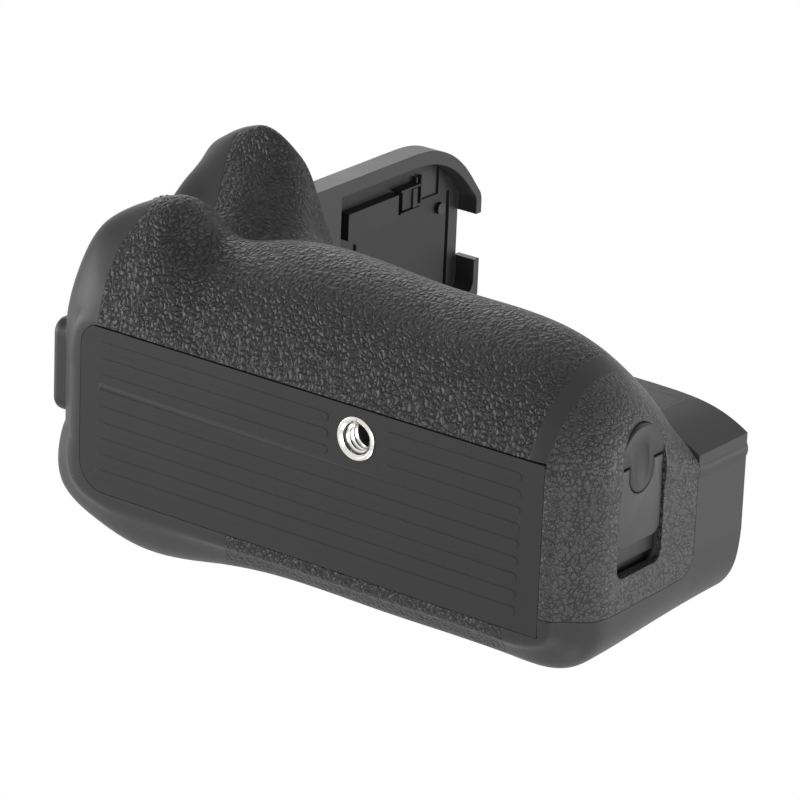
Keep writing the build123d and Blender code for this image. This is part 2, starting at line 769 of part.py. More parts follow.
# Two command dials turn on pins along X, each between the ears of its own bracket.
ear_x = dial_half + slip_gap
bracket_left = left_face + rubber_thickness + shell_wall + 2 * slip_gap
for place, dial_y, dial_z, dial_radius, inward in (
    ("front", front_dial_y, front_dial_height, front_dial_radius, 1),
    ("rear", rear_dial_y, rear_dial_height, rear_dial_radius, -1),
):
    with BuildPart() as dial:
        with BuildSketch(Plane.YZ.offset(dial_x - dial_half)):
            with Locations((dial_y, dial_z)):
                Circle(dial_radius)
                with PolarLocations(dial_radius, dial_teeth):
                    Circle(dial_notch, mode=Mode.SUBTRACT)
                Circle(dial_axle_radius + running_gap, mode=Mode.SUBTRACT)
        extrude(amount=dial_width)
    dial.part.label = f"{place}_dial"
    export_step(dial.part, f"parts/{place}_dial.step")

    with BuildPart() as dial_axle:
        add(level_pin((dial_x - ear_x - dial_ear, dial_x + ear_x + dial_ear), dial_y, dial_z, dial_axle_radius))
    dial_axle.part.label = f"{place}_dial_axle"
    export_step(dial_axle.part, f"parts/{place}_dial_axle.step")

    back_near = dial_y + inward * (dial_radius + slip_gap)
    back_far = back_near + inward * dial_ear
    ear_tip = dial_y - inward * 2 * dial_axle_radius
    ear_z = (dial_z - 2 * dial_axle_radius, dial_z + 2 * dial_axle_radius)
    with BuildPart() as dial_bracket:
        for side in (-1, 1):
            near_x = dial_x + side * ear_x
            ear_span = sorted((near_x, near_x + side * dial_ear))
            add(block(ear_span, sorted((ear_tip, back_far)), ear_z))
        add(block((bracket_left, dial_x + ear_x + dial_ear), sorted((back_near, back_far)), ear_z))
        add(shell_hollow.part, mode=Mode.INTERSECT)
        add(
            level_pin((dial_x - far, dial_x + far), dial_y, dial_z, dial_axle_radius),
            mode=Mode.SUBTRACT,
        )
    dial_bracket.part.label = f"{place}_dial_bracket"
    export_step(dial_bracket.part, f"parts/{place}_dial_bracket.step")

# Camera attachment drive: the thumb wheel's gear turns the gear of the screw in the deck.
wheel_y = screw_from_socket + gear_module * (screw_teeth + wheel_teeth) / 2
gear_top = deck_bottom - gear_clearance
gear_bottom = gear_top - gear_thickness
wheel_top = gear_bottom
wheel_bottom = wheel_top - wheel_thickness
bracket_top = wheel_bottom - slip_gap
bracket_bottom = bracket_top - bracket_thickness
wheel_space = upright(0, wheel_y, (wheel_bottom - slip_gap, wheel_top + slip_gap), wheel_radius + slip_gap)

# Thumb buttons and the stick, by shares along the plate and up the body.
button_shares = {
    "focus_button": (0.30, 0.78),
    "exposure_lock_button": (0.215, 0.82),
    "function_button": (0.12, 0.80),
}
stick_share = (0.22, 0.62)


def thumb_place(share):
    """Find where a control stands on the rear face: along X, its surface, and its level."""
    x = spot(share[0], 0)[0]
    z = share[1] * body_height
    return x, face_y(rear_shares, x, z), z


thumb_places = [thumb_place(share) for share in (*button_shares.values(), stick_share)]
switch_face = min(place[1] for place in thumb_places) - button_lip - 2 * (button_flange + slip_gap + slip_gap)
gimbal_y = (switch_face + gimbal_lift, switch_face + gimbal_lift + gimbal_height)
gimbal_base_radius = gimbal_outer + slip_gap + gimbal_wall
stick_x, stick_surface, stick_z = thumb_places[-1]
switch_board_x = (spot(0.07, 0)[0], spot(0.345, 0)[0])
switch_board_z = (stick_share[1] * body_height - stick_hole * 2, deck_bottom - slip_gap)
switch_post_spots = [
    (x, z)
    for x in (switch_board_x[0] + boss_radius, switch_board_x[1] - small_screw_head)
    for z in (switch_board_z[0] + small_screw_head, switch_board_z[1] - small_screw_head)
]

with BuildPart() as rear_shell:
    add(outer_form.part)
    add(
        block((left_face - far, band_left), (shell_joint, far), (-far, deck_bottom)),
        mode=Mode.INTERSECT,
    )
    add(shell_hollow.part, mode=Mode.SUBTRACT)
    add_bosses(deck_screw_spots[2:])
    for x, z in switch_post_spots:
        add(cross_pin(x, (switch_face, face_y(rear_shares, x, z) - shell_wall / 2), z, small_screw_head))
    add(rear_grip_rubber.part, mode=Mode.SUBTRACT)
    add(plate_pocket, mode=Mode.SUBTRACT)
    add(chassis_pocket, mode=Mode.SUBTRACT)
    add(rear_dial_space, mode=Mode.SUBTRACT)
    add(wheel_space, mode=Mode.SUBTRACT)
    for share in (*button_shares.values(), stick_share):
        radius = stick_hole if share == stick_share else button_radius
        x, surface, z = thumb_place(share)
        add(cross_pin(x, (shell_joint, surface + overrun), z, radius + sprung_gap), mode=Mode.SUBTRACT)
        add(
            cross_pin(x, (shell_joint, surface - button_lip), z, radius + flange_overlap + sprung_gap),
            mode=Mode.SUBTRACT,
        )
    add(
        cross_pin(stick_x, (shell_joint, gimbal_y[1] + slip_gap), stick_z, gimbal_base_radius + sprung_gap),
        mode=Mode.SUBTRACT,
    )
    add(
        cross_pin(
            stick_x, (stick_surface - stick_recess, stick_surface + overrun), stick_z, stick_radius + stick_recess * 2
        ),
        mode=Mode.SUBTRACT,
    )
rear_shell.part.label = "rear_shell"
export_step(rear_shell.part, "parts/rear_shell.step")

# Door latch, in the plan of the end face: a key with a tongue, and a slider that carries the bolt.
latch_middle = latch_low + latch_width / 2
key_y = plate_front + slider_front_from_plate - slider_thickness / 3
tongue_end = key_y + tongue_length
slider_y = (plate_front + slider_front_from_plate, plate_front + slider_front_from_plate + slider_length)
slider_z = (latch_low + sprung_gap, latch_low + latch_width - sprung_gap)
slider_x = (end_face - latch_sink - slider_thickness, end_face - latch_sink)
flange_bottom = end_face - latch_pocket_depth + running_gap
flange_y = (tongue_end + slip_gap, slider_y[1] + slider_shelf)
flange_z = (slider_z[0] - flange_reach, slider_z[1] + flange_reach)
slot_rear = slider_y[1] + slider_travel + slip_gap
stem_y = (plate_front + stem_from_front, plate_front + stem_from_front + stem_width)
stem_z = (latch_middle - stem_width / 2, latch_middle + stem_width / 2)
tray_end = door_left
bolt_x = (band_left + slip_gap, tray_end - tray_wall - slip_gap)
bolt_y = (stem_y[0] - stem_width, tray_rear - tray_wall / 2)
bolt_z = (latch_middle - bolt_height / 2, latch_middle + bolt_height / 2)


def grown(span, margin):
    """Widen a span by the same margin at both ends."""
    return span[0] - margin, span[1] + margin


bolt_notch = block(
    grown(bolt_x, sprung_gap), (tray_rear - slip_gap, bolt_y[1] + slider_travel + slip_gap), grown(bolt_z, sprung_gap)
)

with BuildPart() as end_housing:
    add(outer_form.part)
    add(block((band_left, end_face + far), (-far, far), (-far, far)), mode=Mode.INTERSECT)
    add(door_space, mode=Mode.SUBTRACT)
    add(bay_space, mode=Mode.SUBTRACT)
    add(plate_pocket, mode=Mode.SUBTRACT)
    add(rear_grip_rubber.part, mode=Mode.SUBTRACT)
    add(bolt_notch, mode=Mode.SUBTRACT)
end_housing.part.label = "end_housing"
export_step(end_housing.part, "parts/end_housing.step")

# Battery tower: a rim with an open recess, and a narrower core behind it.
tower_front = plate_front - tower_front_overhang
tower_back = tower_front + tower_width
rim_face = plate_left + tower_rim_from_left
rim_back = rim_face - tower_rim_depth
core_back = rim_face - tower_depth
core_front = tower_front + tower_core_setback
core_top = tower_top - tower_core_step
panel_face = rim_face - recess_depth
panel_back = panel_face - panel_thickness
core_hollow_x = (core_back + tower_cover_thickness, rim_back - panel_thickness)
corner_shares = [(0.12, 0.45), (0.47, 0.775), (0.80, 0.955)]
recess_low = body_height + recess_start
panel_high = recess_low + panel_length


def rim_solid(wall, end_wall, x_span, z_span):
    """Make the rim's outline, drawn in by its walls, as a solid: tall, with one large round corner."""
    y_near = tower_front + wall
    y_far = tower_back - wall
    z_far = tower_top - end_wall
    rise = tower_corner_rise - end_wall
    run = tower_corner_run - wall
    with BuildPart() as made:
        with BuildSketch(Plane.YZ.offset(x_span[0])):
            with BuildLine():
                Line((y_near, z_span[0]), (y_near, z_far - rise))
                Spline(
                    (y_near, z_far - rise),
                    *[(y_near + across * run, z_far - rise + up * rise) for across, up in corner_shares],
                    (y_near + run, z_far),
                    tangents=((0, 1), (1, 0)),
                )
                Line((y_near + run, z_far), (y_far - tower_back_corner, z_far))
                RadiusArc((y_far - tower_back_corner, z_far), (y_far, z_far - tower_back_corner), tower_back_corner)
                Polyline((y_far, z_far - tower_back_corner), (y_far, z_span[0]), (y_near, z_span[0]))
            make_face()
        extrude(amount=x_span[1] - x_span[0])
        add(block(grown(x_span, overrun), (-far, far), z_span), mode=Mode.INTERSECT)
    return made.part


foot_x = (core_back + shell_wall, rim_back - slip_gap)
foot_y = (core_front + shell_wall, tower_back - shell_wall)
cover_x = (core_back, core_back + tower_cover_thickness)
cover_y = (core_front + tower_wall / 2, tower_back - tower_wall / 2)
cover_z = (body_height + tower_wall, core_top - tower_wall / 2)
cover_screw_spots = [
    (y, z)
    for y in grown((core_front, tower_back), -tower_wall - small_screw_head)
    for z in grown(cover_z, -tower_wall)
]
tower_contact_x = (core_back + tower_wall, core_back + tower_wall + contact_length)
tower_contact_y = [
    (core_front + tower_back) / 2 + (place - (contact_count - 1) / 2) * contact_pitch
    for place in range(contact_count)
]
contact_seat_y = (tower_contact_y[0] - contact_pitch, tower_contact_y[-1] + contact_pitch)
contact_seat_z = (core_top - tower_cover_thickness, core_top)
notch_y = (plate_front + notch_from_plate, plate_front + notch_from_plate + notch_length)
panel_hole_y = plate_front + panel_hole_from_plate
panel_hole_z = body_height + panel_hole_start
panel_screw_y = plate_front + panel_screw_from_plate
panel_screw_z = panel_high - panel_screw_from_top
post_x = (core_hollow_x[0], core_hollow_x[0] + boss_radius)
with BuildPart() as tower_frame:
    add(rim_solid(0, 0, (rim_back, rim_face), (body_height, tower_top)))
    add(block((core_back, rim_back), (core_front, tower_back), (body_height, core_top)))
    add(block(foot_x, foot_y, (body_height - tower_foot, body_height)))
    add(
        rim_solid(tower_wall, tower_end_wall, (panel_back, rim_face + overrun), (recess_low, tower_top)),
        mode=Mode.SUBTRACT,
    )
    add(
        block(
            core_hollow_x,
            grown(foot_y, -tower_end_wall),
            (body_height - tower_foot - overrun, panel_high - tower_end_wall),
        ),
        mode=Mode.SUBTRACT,
    )
    for y, z in cover_screw_spots:
        add(level_pin(post_x, y, z, tower_wall / 2))
    add(
        block(
            (panel_face - slot_depth + recess_depth, rim_face),
            (core_front + tower_wall, tower_back - tower_wall),
            (panel_high, contact_seat_z[0] - tower_end_wall / 2),
        ),
        mode=Mode.SUBTRACT,
    )
    add(block((cover_x[0] - overrun, cover_x[1]), cover_y, cover_z), mode=Mode.SUBTRACT)
    add(
        block(grown((rim_back, rim_face), overrun), notch_y, (tower_top - tower_notch_depth, tower_top + overrun)),
        mode=Mode.SUBTRACT,
    )
    add(
        block(tower_contact_x, contact_seat_y, (contact_seat_z[0], contact_seat_z[1] + overrun)),
        mode=Mode.SUBTRACT,
    )
    for y, z in cover_screw_spots:
        add(level_pin((cover_x[0], post_x[1]), y, z, small_screw_radius), mode=Mode.SUBTRACT)
tower_frame.part.label = "tower_frame"
export_step(tower_frame.part, "parts/tower_frame.step")

with BuildPart() as tower_back_cover:
    add(block(cover_x, grown(cover_y, -seam), grown(cover_z, -seam)))
    for y, z in cover_screw_spots:
        add(level_pin((cover_x[0] - overrun, cover_x[1]), y, z, small_screw_radius), mode=Mode.SUBTRACT)
        add(
            level_pin((cover_x[0] - overrun, cover_x[0] + small_screw_head_height), y, z, small_screw_head),
            mode=Mode.SUBTRACT,
        )
tower_back_cover.part.label = "tower_back_cover"
export_step(tower_back_cover.part, "parts/tower_back_cover.step")

with BuildPart() as tower_cover_screws:
    for y, z in cover_screw_spots:
        add(level_pin((cover_x[0], cover_x[0] + small_screw_head_height), y, z, small_screw_head - running_gap))
        add(level_pin((cover_x[0], post_x[1]), y, z, small_screw_radius))
tower_cover_screws.part.label = "tower_cover_screws"
export_step(tower_cover_screws.part, "parts/tower_cover_screws.step")

with BuildPart() as tower_contact_block:
    add(block(tower_contact_x, contact_seat_y, contact_seat_z))
    for y in tower_contact_y:
        add(
            block(tower_contact_x, grown((y, y), contact_width / 2), (core_top - contact_thickness, core_top + overrun)),
            mode=Mode.SUBTRACT,
        )
tower_contact_block.part.label = "tower_contact_block"
export_step(tower_contact_block.part, "parts/tower_contact_block.step")

with BuildPart() as tower_contacts:
    for y in tower_contact_y:
        add(block(tower_contact_x, grown((y, y), contact_width / 2), (core_top - contact_thickness, core_top)))
tower_contacts.part.label = "tower_contacts"
export_step(tower_contacts.part, "parts/tower_contacts.step")

# Panel on the floor of the recess, with its ledge, ribs and the clip's guide, and the clip.
ledge_y = (plate_front + ledge_from_plate, plate_front + ledge_from_plate + ledge_width)
clip_y = (ledge_y[0], ledge_y[0] + clip_width)
clip_z = (body_height + clip_start, body_height + clip_start + clip_length)
square_y = (plate_front + square_from_plate, plate_front + square_from_plate + square_width)
square_z = (panel_high - square_width - tower_wall, panel_high - tower_wall)
with BuildPart() as recess_panel:
    add(
        rim_solid(
            tower_wall + running_gap, tower_end_wall + running_gap, (panel_back, panel_face), (recess_low, panel_high)
        )
    )
    add(block((panel_face, panel_face + ledge_height), ledge_y, (body_height + ledge_start, body_height + ledge_end)))
    for z in (square_z[0] - rib_pitch, square_z[0] - rib_pitch / 2):
        add(block((panel_face, panel_face + ledge_height / 2), square_y, (z, z + contact_thickness)))
    for y in (clip_y[0] - sprung_gap - contact_thickness, clip_y[1] + sprung_gap):
        add(block((panel_face, panel_face + ledge_height), (y, y + contact_thickness), grown(clip_z, clip_travel)))
    add(level_pin((panel_back, panel_face), panel_screw_y, panel_screw_z, small_screw_radius), mode=Mode.SUBTRACT)
    add(
        level_pin((panel_back, panel_face), panel_hole_y, panel_hole_z, panel_hole_radius),
        mode=Mode.SUBTRACT,
    )
    add(block((panel_back, panel_face), square_y, square_z), mode=Mode.SUBTRACT)
recess_panel.part.label = "recess_panel"
export_step(recess_panel.part, "parts/recess_panel.step")

with BuildPart() as cover_clip:
    add(block((panel_face + running_gap, panel_face + clip_height), clip_y, clip_z))
    add(
        block(
            (panel_face + clip_height, panel_face + clip_height + contact_thickness),
            clip_y,
            (clip_z[1] - contact_width, clip_z[1]),
        )
    )
cover_clip.part.label = "cover_clip"
export_step(cover_clip.part, "parts/cover_clip.step")

with BuildPart() as panel_screw:
    add(level_pin((panel_back, panel_face), panel_screw_y, panel_screw_z, small_screw_radius))
    add(
        level_pin(
            (panel_face, panel_face + small_screw_head_height), panel_screw_y, panel_screw_z, tower_screw_radius
        )
    )
panel_screw.part.label = "panel_screw"
export_step(panel_screw.part, "parts/panel_screw.step")

# Deck: the plate that the camera stands on.
screw_y = screw_from_socket
axle_top = deck_bottom + deck_thickness / 2
pin_x = pin_from_socket
with BuildPart() as top_deck:
    add(outer_form.part)
    add(
        block((left_face - far, band_left), (-far, far), (deck_bottom, far)),
        mode=Mode.INTERSECT,
    )
    add(front_grip_rubber.part, mode=Mode.SUBTRACT)
    add(
        block(grown(foot_x, seam), grown(foot_y, seam), (body_height - tower_foot, body_height + overrun)),
        mode=Mode.SUBTRACT,
    )
    add(
        block(
            core_hollow_x, grown(foot_y, -tower_end_wall), (deck_bottom - overrun, body_height)
        ),
        mode=Mode.SUBTRACT,
    )
    add(
        upright(0, screw_y, (deck_bottom - overrun, body_height + overrun), screw_shank_radius + running_gap),
        mode=Mode.SUBTRACT,
    )
    add(
        upright(0, wheel_y, (deck_bottom - overrun, axle_top), axle_radius),
        mode=Mode.SUBTRACT,
    )
    add(
        upright(pin_x, screw_y, (body_height - pin_sink, body_height + overrun), pin_base_radius),
        mode=Mode.SUBTRACT,
    )
    for x, y in deck_screw_spots:
        add(upright(x, y, (deck_bottom, body_height), deck_screw_radius), mode=Mode.SUBTRACT)
        add(
            upright(x, y, (body_height - deck_thickness / 2, body_height + overrun), deck_screw_head + running_gap),
            mode=Mode.SUBTRACT,
        )
top_deck.part.label = "top_deck"
export_step(top_deck.part, "parts/top_deck.step")

with BuildPart() as deck_screws:
    for x, y in deck_screw_spots:
        add(upright(x, y, (deck_bottom - boss_height / 2, body_height - deck_thickness / 2), deck_screw_radius))
        add(
            upright(
                x, y, (body_height - deck_thickness / 2, body_height - deck_thickness / 2 + magazine_screw_radius),
                deck_screw_head,
            )
        )
deck_screws.part.label = "deck_screws"
export_step(deck_screws.part, "parts/deck_screws.step")

with BuildPart() as locating_pin:
    add(upright(pin_x, screw_y, (body_height + relief_depth, body_height + pin_height), pin_radius))
    chamfer(locating_pin.faces().sort_by(Axis.Z)[-1].edges(), pin_radius / 3)
    add(upright(pin_x, screw_y, (body_height, body_height + relief_depth), pin_radius - relief_depth))
    add(upright(pin_x, screw_y, (body_height - pin_sink, body_height), pin_base_radius))
locating_pin.part.label = "locating_pin"
export_step(locating_pin.part, "parts/locating_pin.step")

# Camera attachment drive: bracket, axle, thumb wheel and the two gears.
post_offset = wheel_radius + slip_gap + 2 * post_radius
with BuildPart() as drive_bracket:
    add(
        block(
            (-post_offset - post_radius, post_offset + post_radius),
            (post_front - post_radius, post_rear + post_radius),
            (bracket_bottom, bracket_top),
            post_radius,
        )
    )
    for x in (-post_offset, post_offset):
        for y in (post_front, post_rear):
            add(upright(x, y, (bracket_bottom, deck_bottom), post_radius))
    add(
        upright(0, screw_y, (bracket_bottom - overrun, bracket_top + overrun), journal_radius + running_gap),
        mode=Mode.SUBTRACT,
    )
    add(
        upright(0, wheel_y, (bracket_bottom - overrun, bracket_top + overrun), axle_radius),
        mode=Mode.SUBTRACT,
    )
drive_bracket.part.label = "drive_bracket"
export_step(drive_bracket.part, "parts/drive_bracket.step")

with BuildPart() as wheel_axle:
    add(upright(0, wheel_y, (bracket_bottom, axle_top), axle_radius))
wheel_axle.part.label = "wheel_axle"
export_step(wheel_axle.part, "parts/wheel_axle.step")

tooth_shares = [(-0.27, -1.15), (-0.13, 0.85), (0.13, 0.85), (0.27, -1.15)]


def gear(y, teeth, bore, start_angle):
    """Make a spur gear standing on Z: one closed outline of straight-flanked teeth."""
    pitch_radius = gear_module * teeth / 2
    outline = []
    for tooth in range(teeth):
        for side, rise in tooth_shares:
            angle = start_angle + 2 * pi * (tooth + side) / teeth
            reach = pitch_radius + rise * gear_module
            outline.append((reach * cos(angle), y + reach * sin(angle)))
    with BuildPart() as made:
        with BuildSketch(Plane.XY.offset(gear_bottom)):
            with BuildLine():
                Polyline(*outline, close=True)
            make_face()
            with Locations((0, y)):
                Circle(bore, mode=Mode.SUBTRACT)
        extrude(amount=gear_thickness)
    return made.part


with BuildPart() as lock_wheel:
    with BuildSketch(Plane.XY.offset(wheel_bottom)):
        with Locations((0, wheel_y)):
            Circle(wheel_radius)
            with PolarLocations(wheel_radius, wheel_notches):
                Circle(wheel_notch, mode=Mode.SUBTRACT)
            Circle(axle_radius + running_gap, mode=Mode.SUBTRACT)
    extrude(amount=wheel_thickness)
lock_wheel.part.label = "lock_wheel"
export_step(lock_wheel.part, "parts/lock_wheel.step")

wheel_gear_part = gear(wheel_y, wheel_teeth, axle_radius + running_gap, -pi / 2)
with BuildPart() as wheel_gear:
    add(wheel_gear_part)
wheel_gear.part.label = "wheel_gear"
export_step(wheel_gear.part, "parts/wheel_gear.step")

screw_gear_part = gear(screw_y, screw_teeth, screw_shank_radius, pi / 2 + pi / screw_teeth)
with BuildPart() as screw_gear:
    add(screw_gear_part)
screw_gear.part.label = "screw_gear"
export_step(screw_gear.part, "parts/screw_gear.step")

with BuildPart() as camera_screw:
    add(upright(0, screw_y, (body_height + relief_depth, body_height + screw_tip_height), socket_radius))
    chamfer(camera_screw.faces().sort_by(Axis.Z)[-1].edges(), journal_radius / 2)
    add(upright(0, screw_y, (body_height, body_height + relief_depth), socket_radius - relief_depth))
    add(upright(0, screw_y, (gear_bottom, body_height), screw_shank_radius))
    add(upright(0, screw_y, (bracket_bottom, gear_bottom), journal_radius))
camera_screw.part.label = "camera_screw"
export_step(camera_screw.part, "parts/camera_screw.step")

# Magazine: a tray for two batteries behind the end cap, with the catches on its partitions.
partition_x = [
    tray_left + tray_wall + (place + 1) * (battery_length + battery_gap) + place * catch_wall for place in range(2)
]
tray_y = (tray_front, tray_rear)
magazine_screw_spots = [(tray_front + 2 * magazine_screw_head, tray_floor + 2 * magazine_screw_head)]
magazine_screw_spots.append((tray_rear - 2 * magazine_screw_head, magazine_screw_spots[0][1]))
catch_y = ((tray_front + tray_rear) / 2 - catch_width / 2, (tray_front + tray_rear) / 2 + catch_width / 2)
with BuildPart() as magazine_tray:
    add(block((tray_left, tray_end), tray_y, (tray_floor, tray_top)))
    for start in (tray_left + tray_wall, partition_x[0] + catch_wall):
        add(
            block(
                (start, start + battery_length + battery_gap),
                grown(tray_y, -tray_wall),
                (tray_floor + tray_wall, tray_top + overrun),
            ),
            mode=Mode.SUBTRACT,
        )
    add(
        block(
            (partition_x[1] + catch_wall, tray_end - tray_wall),
            grown(tray_y, -tray_wall),
            (tray_floor + tray_wall, tray_top + overrun),
        ),
        mode=Mode.SUBTRACT,
    )
    add(
        block(grown(bolt_x, sprung_gap), (0, tray_rear + overrun), grown(bolt_z, sprung_gap)),
        mode=Mode.SUBTRACT,
    )
    add(
        block(
            (tray_end - tray_wall - overrun / 2, tray_end + overrun),
            (stem_y[0] - sprung_gap, stem_y[1] + slider_travel + sprung_gap),
            grown(stem_z, sprung_gap),
        ),
        mode=Mode.SUBTRACT,
    )
    for x in partition_x:
        add(
            block((x, x + catch_wall), catch_y, (tray_top - catch_thickness, tray_top + overrun)),
            mode=Mode.SUBTRACT,
        )
    for y, z in magazine_screw_spots:
        add(level_pin((tray_end - tray_wall, tray_end), y, z, magazine_screw_radius), mode=Mode.SUBTRACT)
magazine_tray.part.label = "magazine_tray"
export_step(magazine_tray.part, "parts/magazine_tray.step")

with BuildPart() as latch_slot:
    with BuildSketch(Plane.YZ.offset(flange_bottom - running_gap)):
        with Locations((key_y, latch_middle)):
            Circle(latch_width / 2)
        with Locations(((key_y + slot_rear) / 2, latch_middle)):
            Rectangle(slot_rear - key_y, latch_width)
    extrude(amount=latch_pocket_depth + overrun)
    fillet(latch_slot.edges().filter_by(Axis.X).group_by(Axis.Y)[-1], slider_corner)
flange_space = block(
    (flange_bottom - running_gap, slider_x[0] + running_gap),
    (flange_y[0] - running_gap, flange_y[1] + slider_travel + slip_gap),
    grown(flange_z, running_gap),
)
stem_space = block(
    (door_left - overrun, flange_bottom),
    (stem_y[0] - sprung_gap, stem_y[1] + slider_travel + sprung_gap),
    grown(stem_z, sprung_gap),
)

with BuildPart() as magazine_end_cap:
    add(body_form(door_skin_thickness))
    add(door_body_space, mode=Mode.INTERSECT)
    add(latch_slot.part, mode=Mode.SUBTRACT)
    add(flange_space, mode=Mode.SUBTRACT)
    add(stem_space, mode=Mode.SUBTRACT)
    add(
        level_pin(
            (flange_bottom - key_pin_length - key_travel, flange_bottom), key_y, latch_middle,
            key_pin_radius + running_gap,
        ),
        mode=Mode.SUBTRACT,
    )
    for y, z in magazine_screw_spots:
        add(
            level_pin((door_left, tray_end - tray_wall + magazine_screw_length), y, z, magazine_screw_radius),
            mode=Mode.SUBTRACT,
        )
magazine_end_cap.part.label = "magazine_end_cap"
export_step(magazine_end_cap.part, "parts/magazine_end_cap.step")

with BuildPart() as door_skin:
    add(lower_form)
    add(door_body_space, mode=Mode.INTERSECT)
    add(body_form(door_skin_thickness), mode=Mode.SUBTRACT)
    add(latch_slot.part, mode=Mode.SUBTRACT)
door_skin.part.label = "door_skin"
export_step(door_skin.part, "parts/door_skin.step")

with BuildPart() as magazine_screws:
    for y, z in magazine_screw_spots:
        add(
            level_pin(
                (tray_end - tray_wall, tray_end - tray_wall + magazine_screw_length), y, z, magazine_screw_radius
            )
        )
        add(level_pin((tray_end - tray_wall - magazine_screw_radius, tray_end - tray_wall), y, z, magazine_screw_head))
magazine_screws.part.label = "magazine_screws"
export_step(magazine_screws.part, "parts/magazine_screws.step")

with BuildPart() as magazine_contacts:
    for y in bay_contact_y:
        for z in bay_contact_z:
            add(level_pin((tray_left - contact_thickness, tray_left), y, z, contact_width / 2))
magazine_contacts.part.label = "magazine_contacts"
export_step(magazine_contacts.part, "parts/magazine_contacts.step")

for place, x in zip(("inner", "outer"), partition_x):
    with BuildPart() as battery_catch:
        add(
            block(
                (x - catch_overhang, x + catch_wall - catch_overhang - sprung_gap),
                grown(catch_y, -sprung_gap),
                (tray_top - catch_thickness + running_gap, tray_top),
            )
        )
        chamfer(battery_catch.edges().filter_by(Axis.Y).group_by(Axis.Z)[-1].sort_by(Axis.X)[0], catch_thickness / 2)
    battery_catch.part.label = f"battery_catch_{place}"
    export_step(battery_catch.part, f"parts/battery_catch_{place}.step")

with BuildPart() as latch_slider:
    with BuildSketch(Plane.YZ.offset(slider_x[0])) as slider_plan:
        with Locations(((slider_y[0] + slider_y[1]) / 2, latch_middle)):
            Rectangle(slider_length, slider_z[1] - slider_z[0])
        fillet(slider_plan.vertices().group_by(Axis.X)[-1], slider_corner)
        with Locations((tongue_end - tongue_radius, latch_middle)):
            Circle(tongue_radius + sprung_gap, mode=Mode.SUBTRACT)
        with Locations(((slider_y[0] + tongue_end - tongue_radius) / 2, latch_middle)):
            Rectangle(
                tongue_end - tongue_radius - slider_y[0], 2 * (tongue_radius + sprung_gap), mode=Mode.SUBTRACT
            )
    extrude(amount=slider_thickness)
    add(block((flange_bottom, slider_x[0]), flange_y, flange_z))
    add(block((bolt_x[1], flange_bottom), stem_y, stem_z))
latch_slider.part.label = "latch_slider"
export_step(latch_slider.part, "parts/latch_slider.step")

with BuildPart() as latch_bolt:
    add(block(bolt_x, bolt_y, bolt_z))
latch_bolt.part.label = "latch_bolt"
export_step(latch_bolt.part, "parts/latch_bolt.step")

with BuildPart() as latch_key:
    with BuildSketch(Plane.YZ.offset(slider_x[0])) as key_plan:
        with Locations((key_y, latch_middle)):
            Circle(key_radius)
            with Locations((key_radius, 0)):
                Rectangle(2 * key_radius, 2 * key_radius, mode=Mode.SUBTRACT)
        with Locations((tongue_end - tongue_radius, latch_middle)):
            Circle(tongue_radius)
        with Locations(((key_y - tongue_radius + tongue_end - tongue_radius) / 2, latch_middle)):
            Rectangle(tongue_end - key_y, 2 * tongue_radius)
    extrude(amount=slider_thickness)
    add(level_pin((flange_bottom - key_pin_length, slider_x[0]), key_y, latch_middle, key_pin_radius))
latch_key.part.label = "latch_key"
export_step(latch_key.part, "parts/latch_key.step")

# Controls on the thumb side, on the posts of the switch board.
with BuildPart() as rear_switch_board:
    add(block(switch_board_x, (switch_face - switch_board_thickness, switch_face), switch_board_z))
rear_switch_board.part.label = "rear_switch_board"
export_step(rear_switch_board.part, "parts/rear_switch_board.step")

for label, share in button_shares.items():
    x, surface, z = thumb_place(share)
    lip = surface - button_lip - running_gap
    with BuildPart() as button:
        add(cross_pin(x, (lip - button_flange, surface + button_proud), z, button_radius))
        fillet(button.faces().sort_by(Axis.Y)[-1].edges(), button_proud / 2)
        add(cross_pin(x, (lip - button_flange, lip), z, button_radius + flange_overlap))
        add(cross_pin(x, (switch_face + button_travel + sprung_gap, lip), z, stick_neck))
    button.part.label = label
    export_step(button.part, f"parts/{label}.step")

ball_y = (gimbal_y[0] + gimbal_y[1]) / 2
ball_radius = gimbal_bore - slip_gap
trunnion_radius = gimbal_height / 4
with BuildPart() as joystick_base:
    add(cross_pin(stick_x, (switch_face, gimbal_y[1]), stick_z, gimbal_base_radius))
    add(
        cross_pin(stick_x, (switch_face - overrun, gimbal_y[1] + overrun), stick_z, gimbal_outer + slip_gap),
        mode=Mode.SUBTRACT,
    )
    add(level_pin((stick_x - far, stick_x + far), ball_y, stick_z, trunnion_radius + running_gap), mode=Mode.SUBTRACT)
joystick_base.part.label = "joystick_base"
export_step(joystick_base.part, "parts/joystick_base.step")

with BuildPart() as joystick_gimbal:
    add(cross_pin(stick_x, gimbal_y, stick_z, gimbal_outer))
    add(
        level_pin(
            grown((stick_x, stick_x), gimbal_base_radius), ball_y, stick_z, trunnion_radius
        )
    )
    add(cross_pin(stick_x, grown(gimbal_y, overrun), stick_z, gimbal_bore), mode=Mode.SUBTRACT)
    add(
        upright(stick_x, ball_y, (stick_z - far, stick_z + far), trunnion_radius + running_gap),
        mode=Mode.SUBTRACT,
    )
joystick_gimbal.part.label = "joystick_gimbal"
export_step(joystick_gimbal.part, "parts/joystick_gimbal.step")

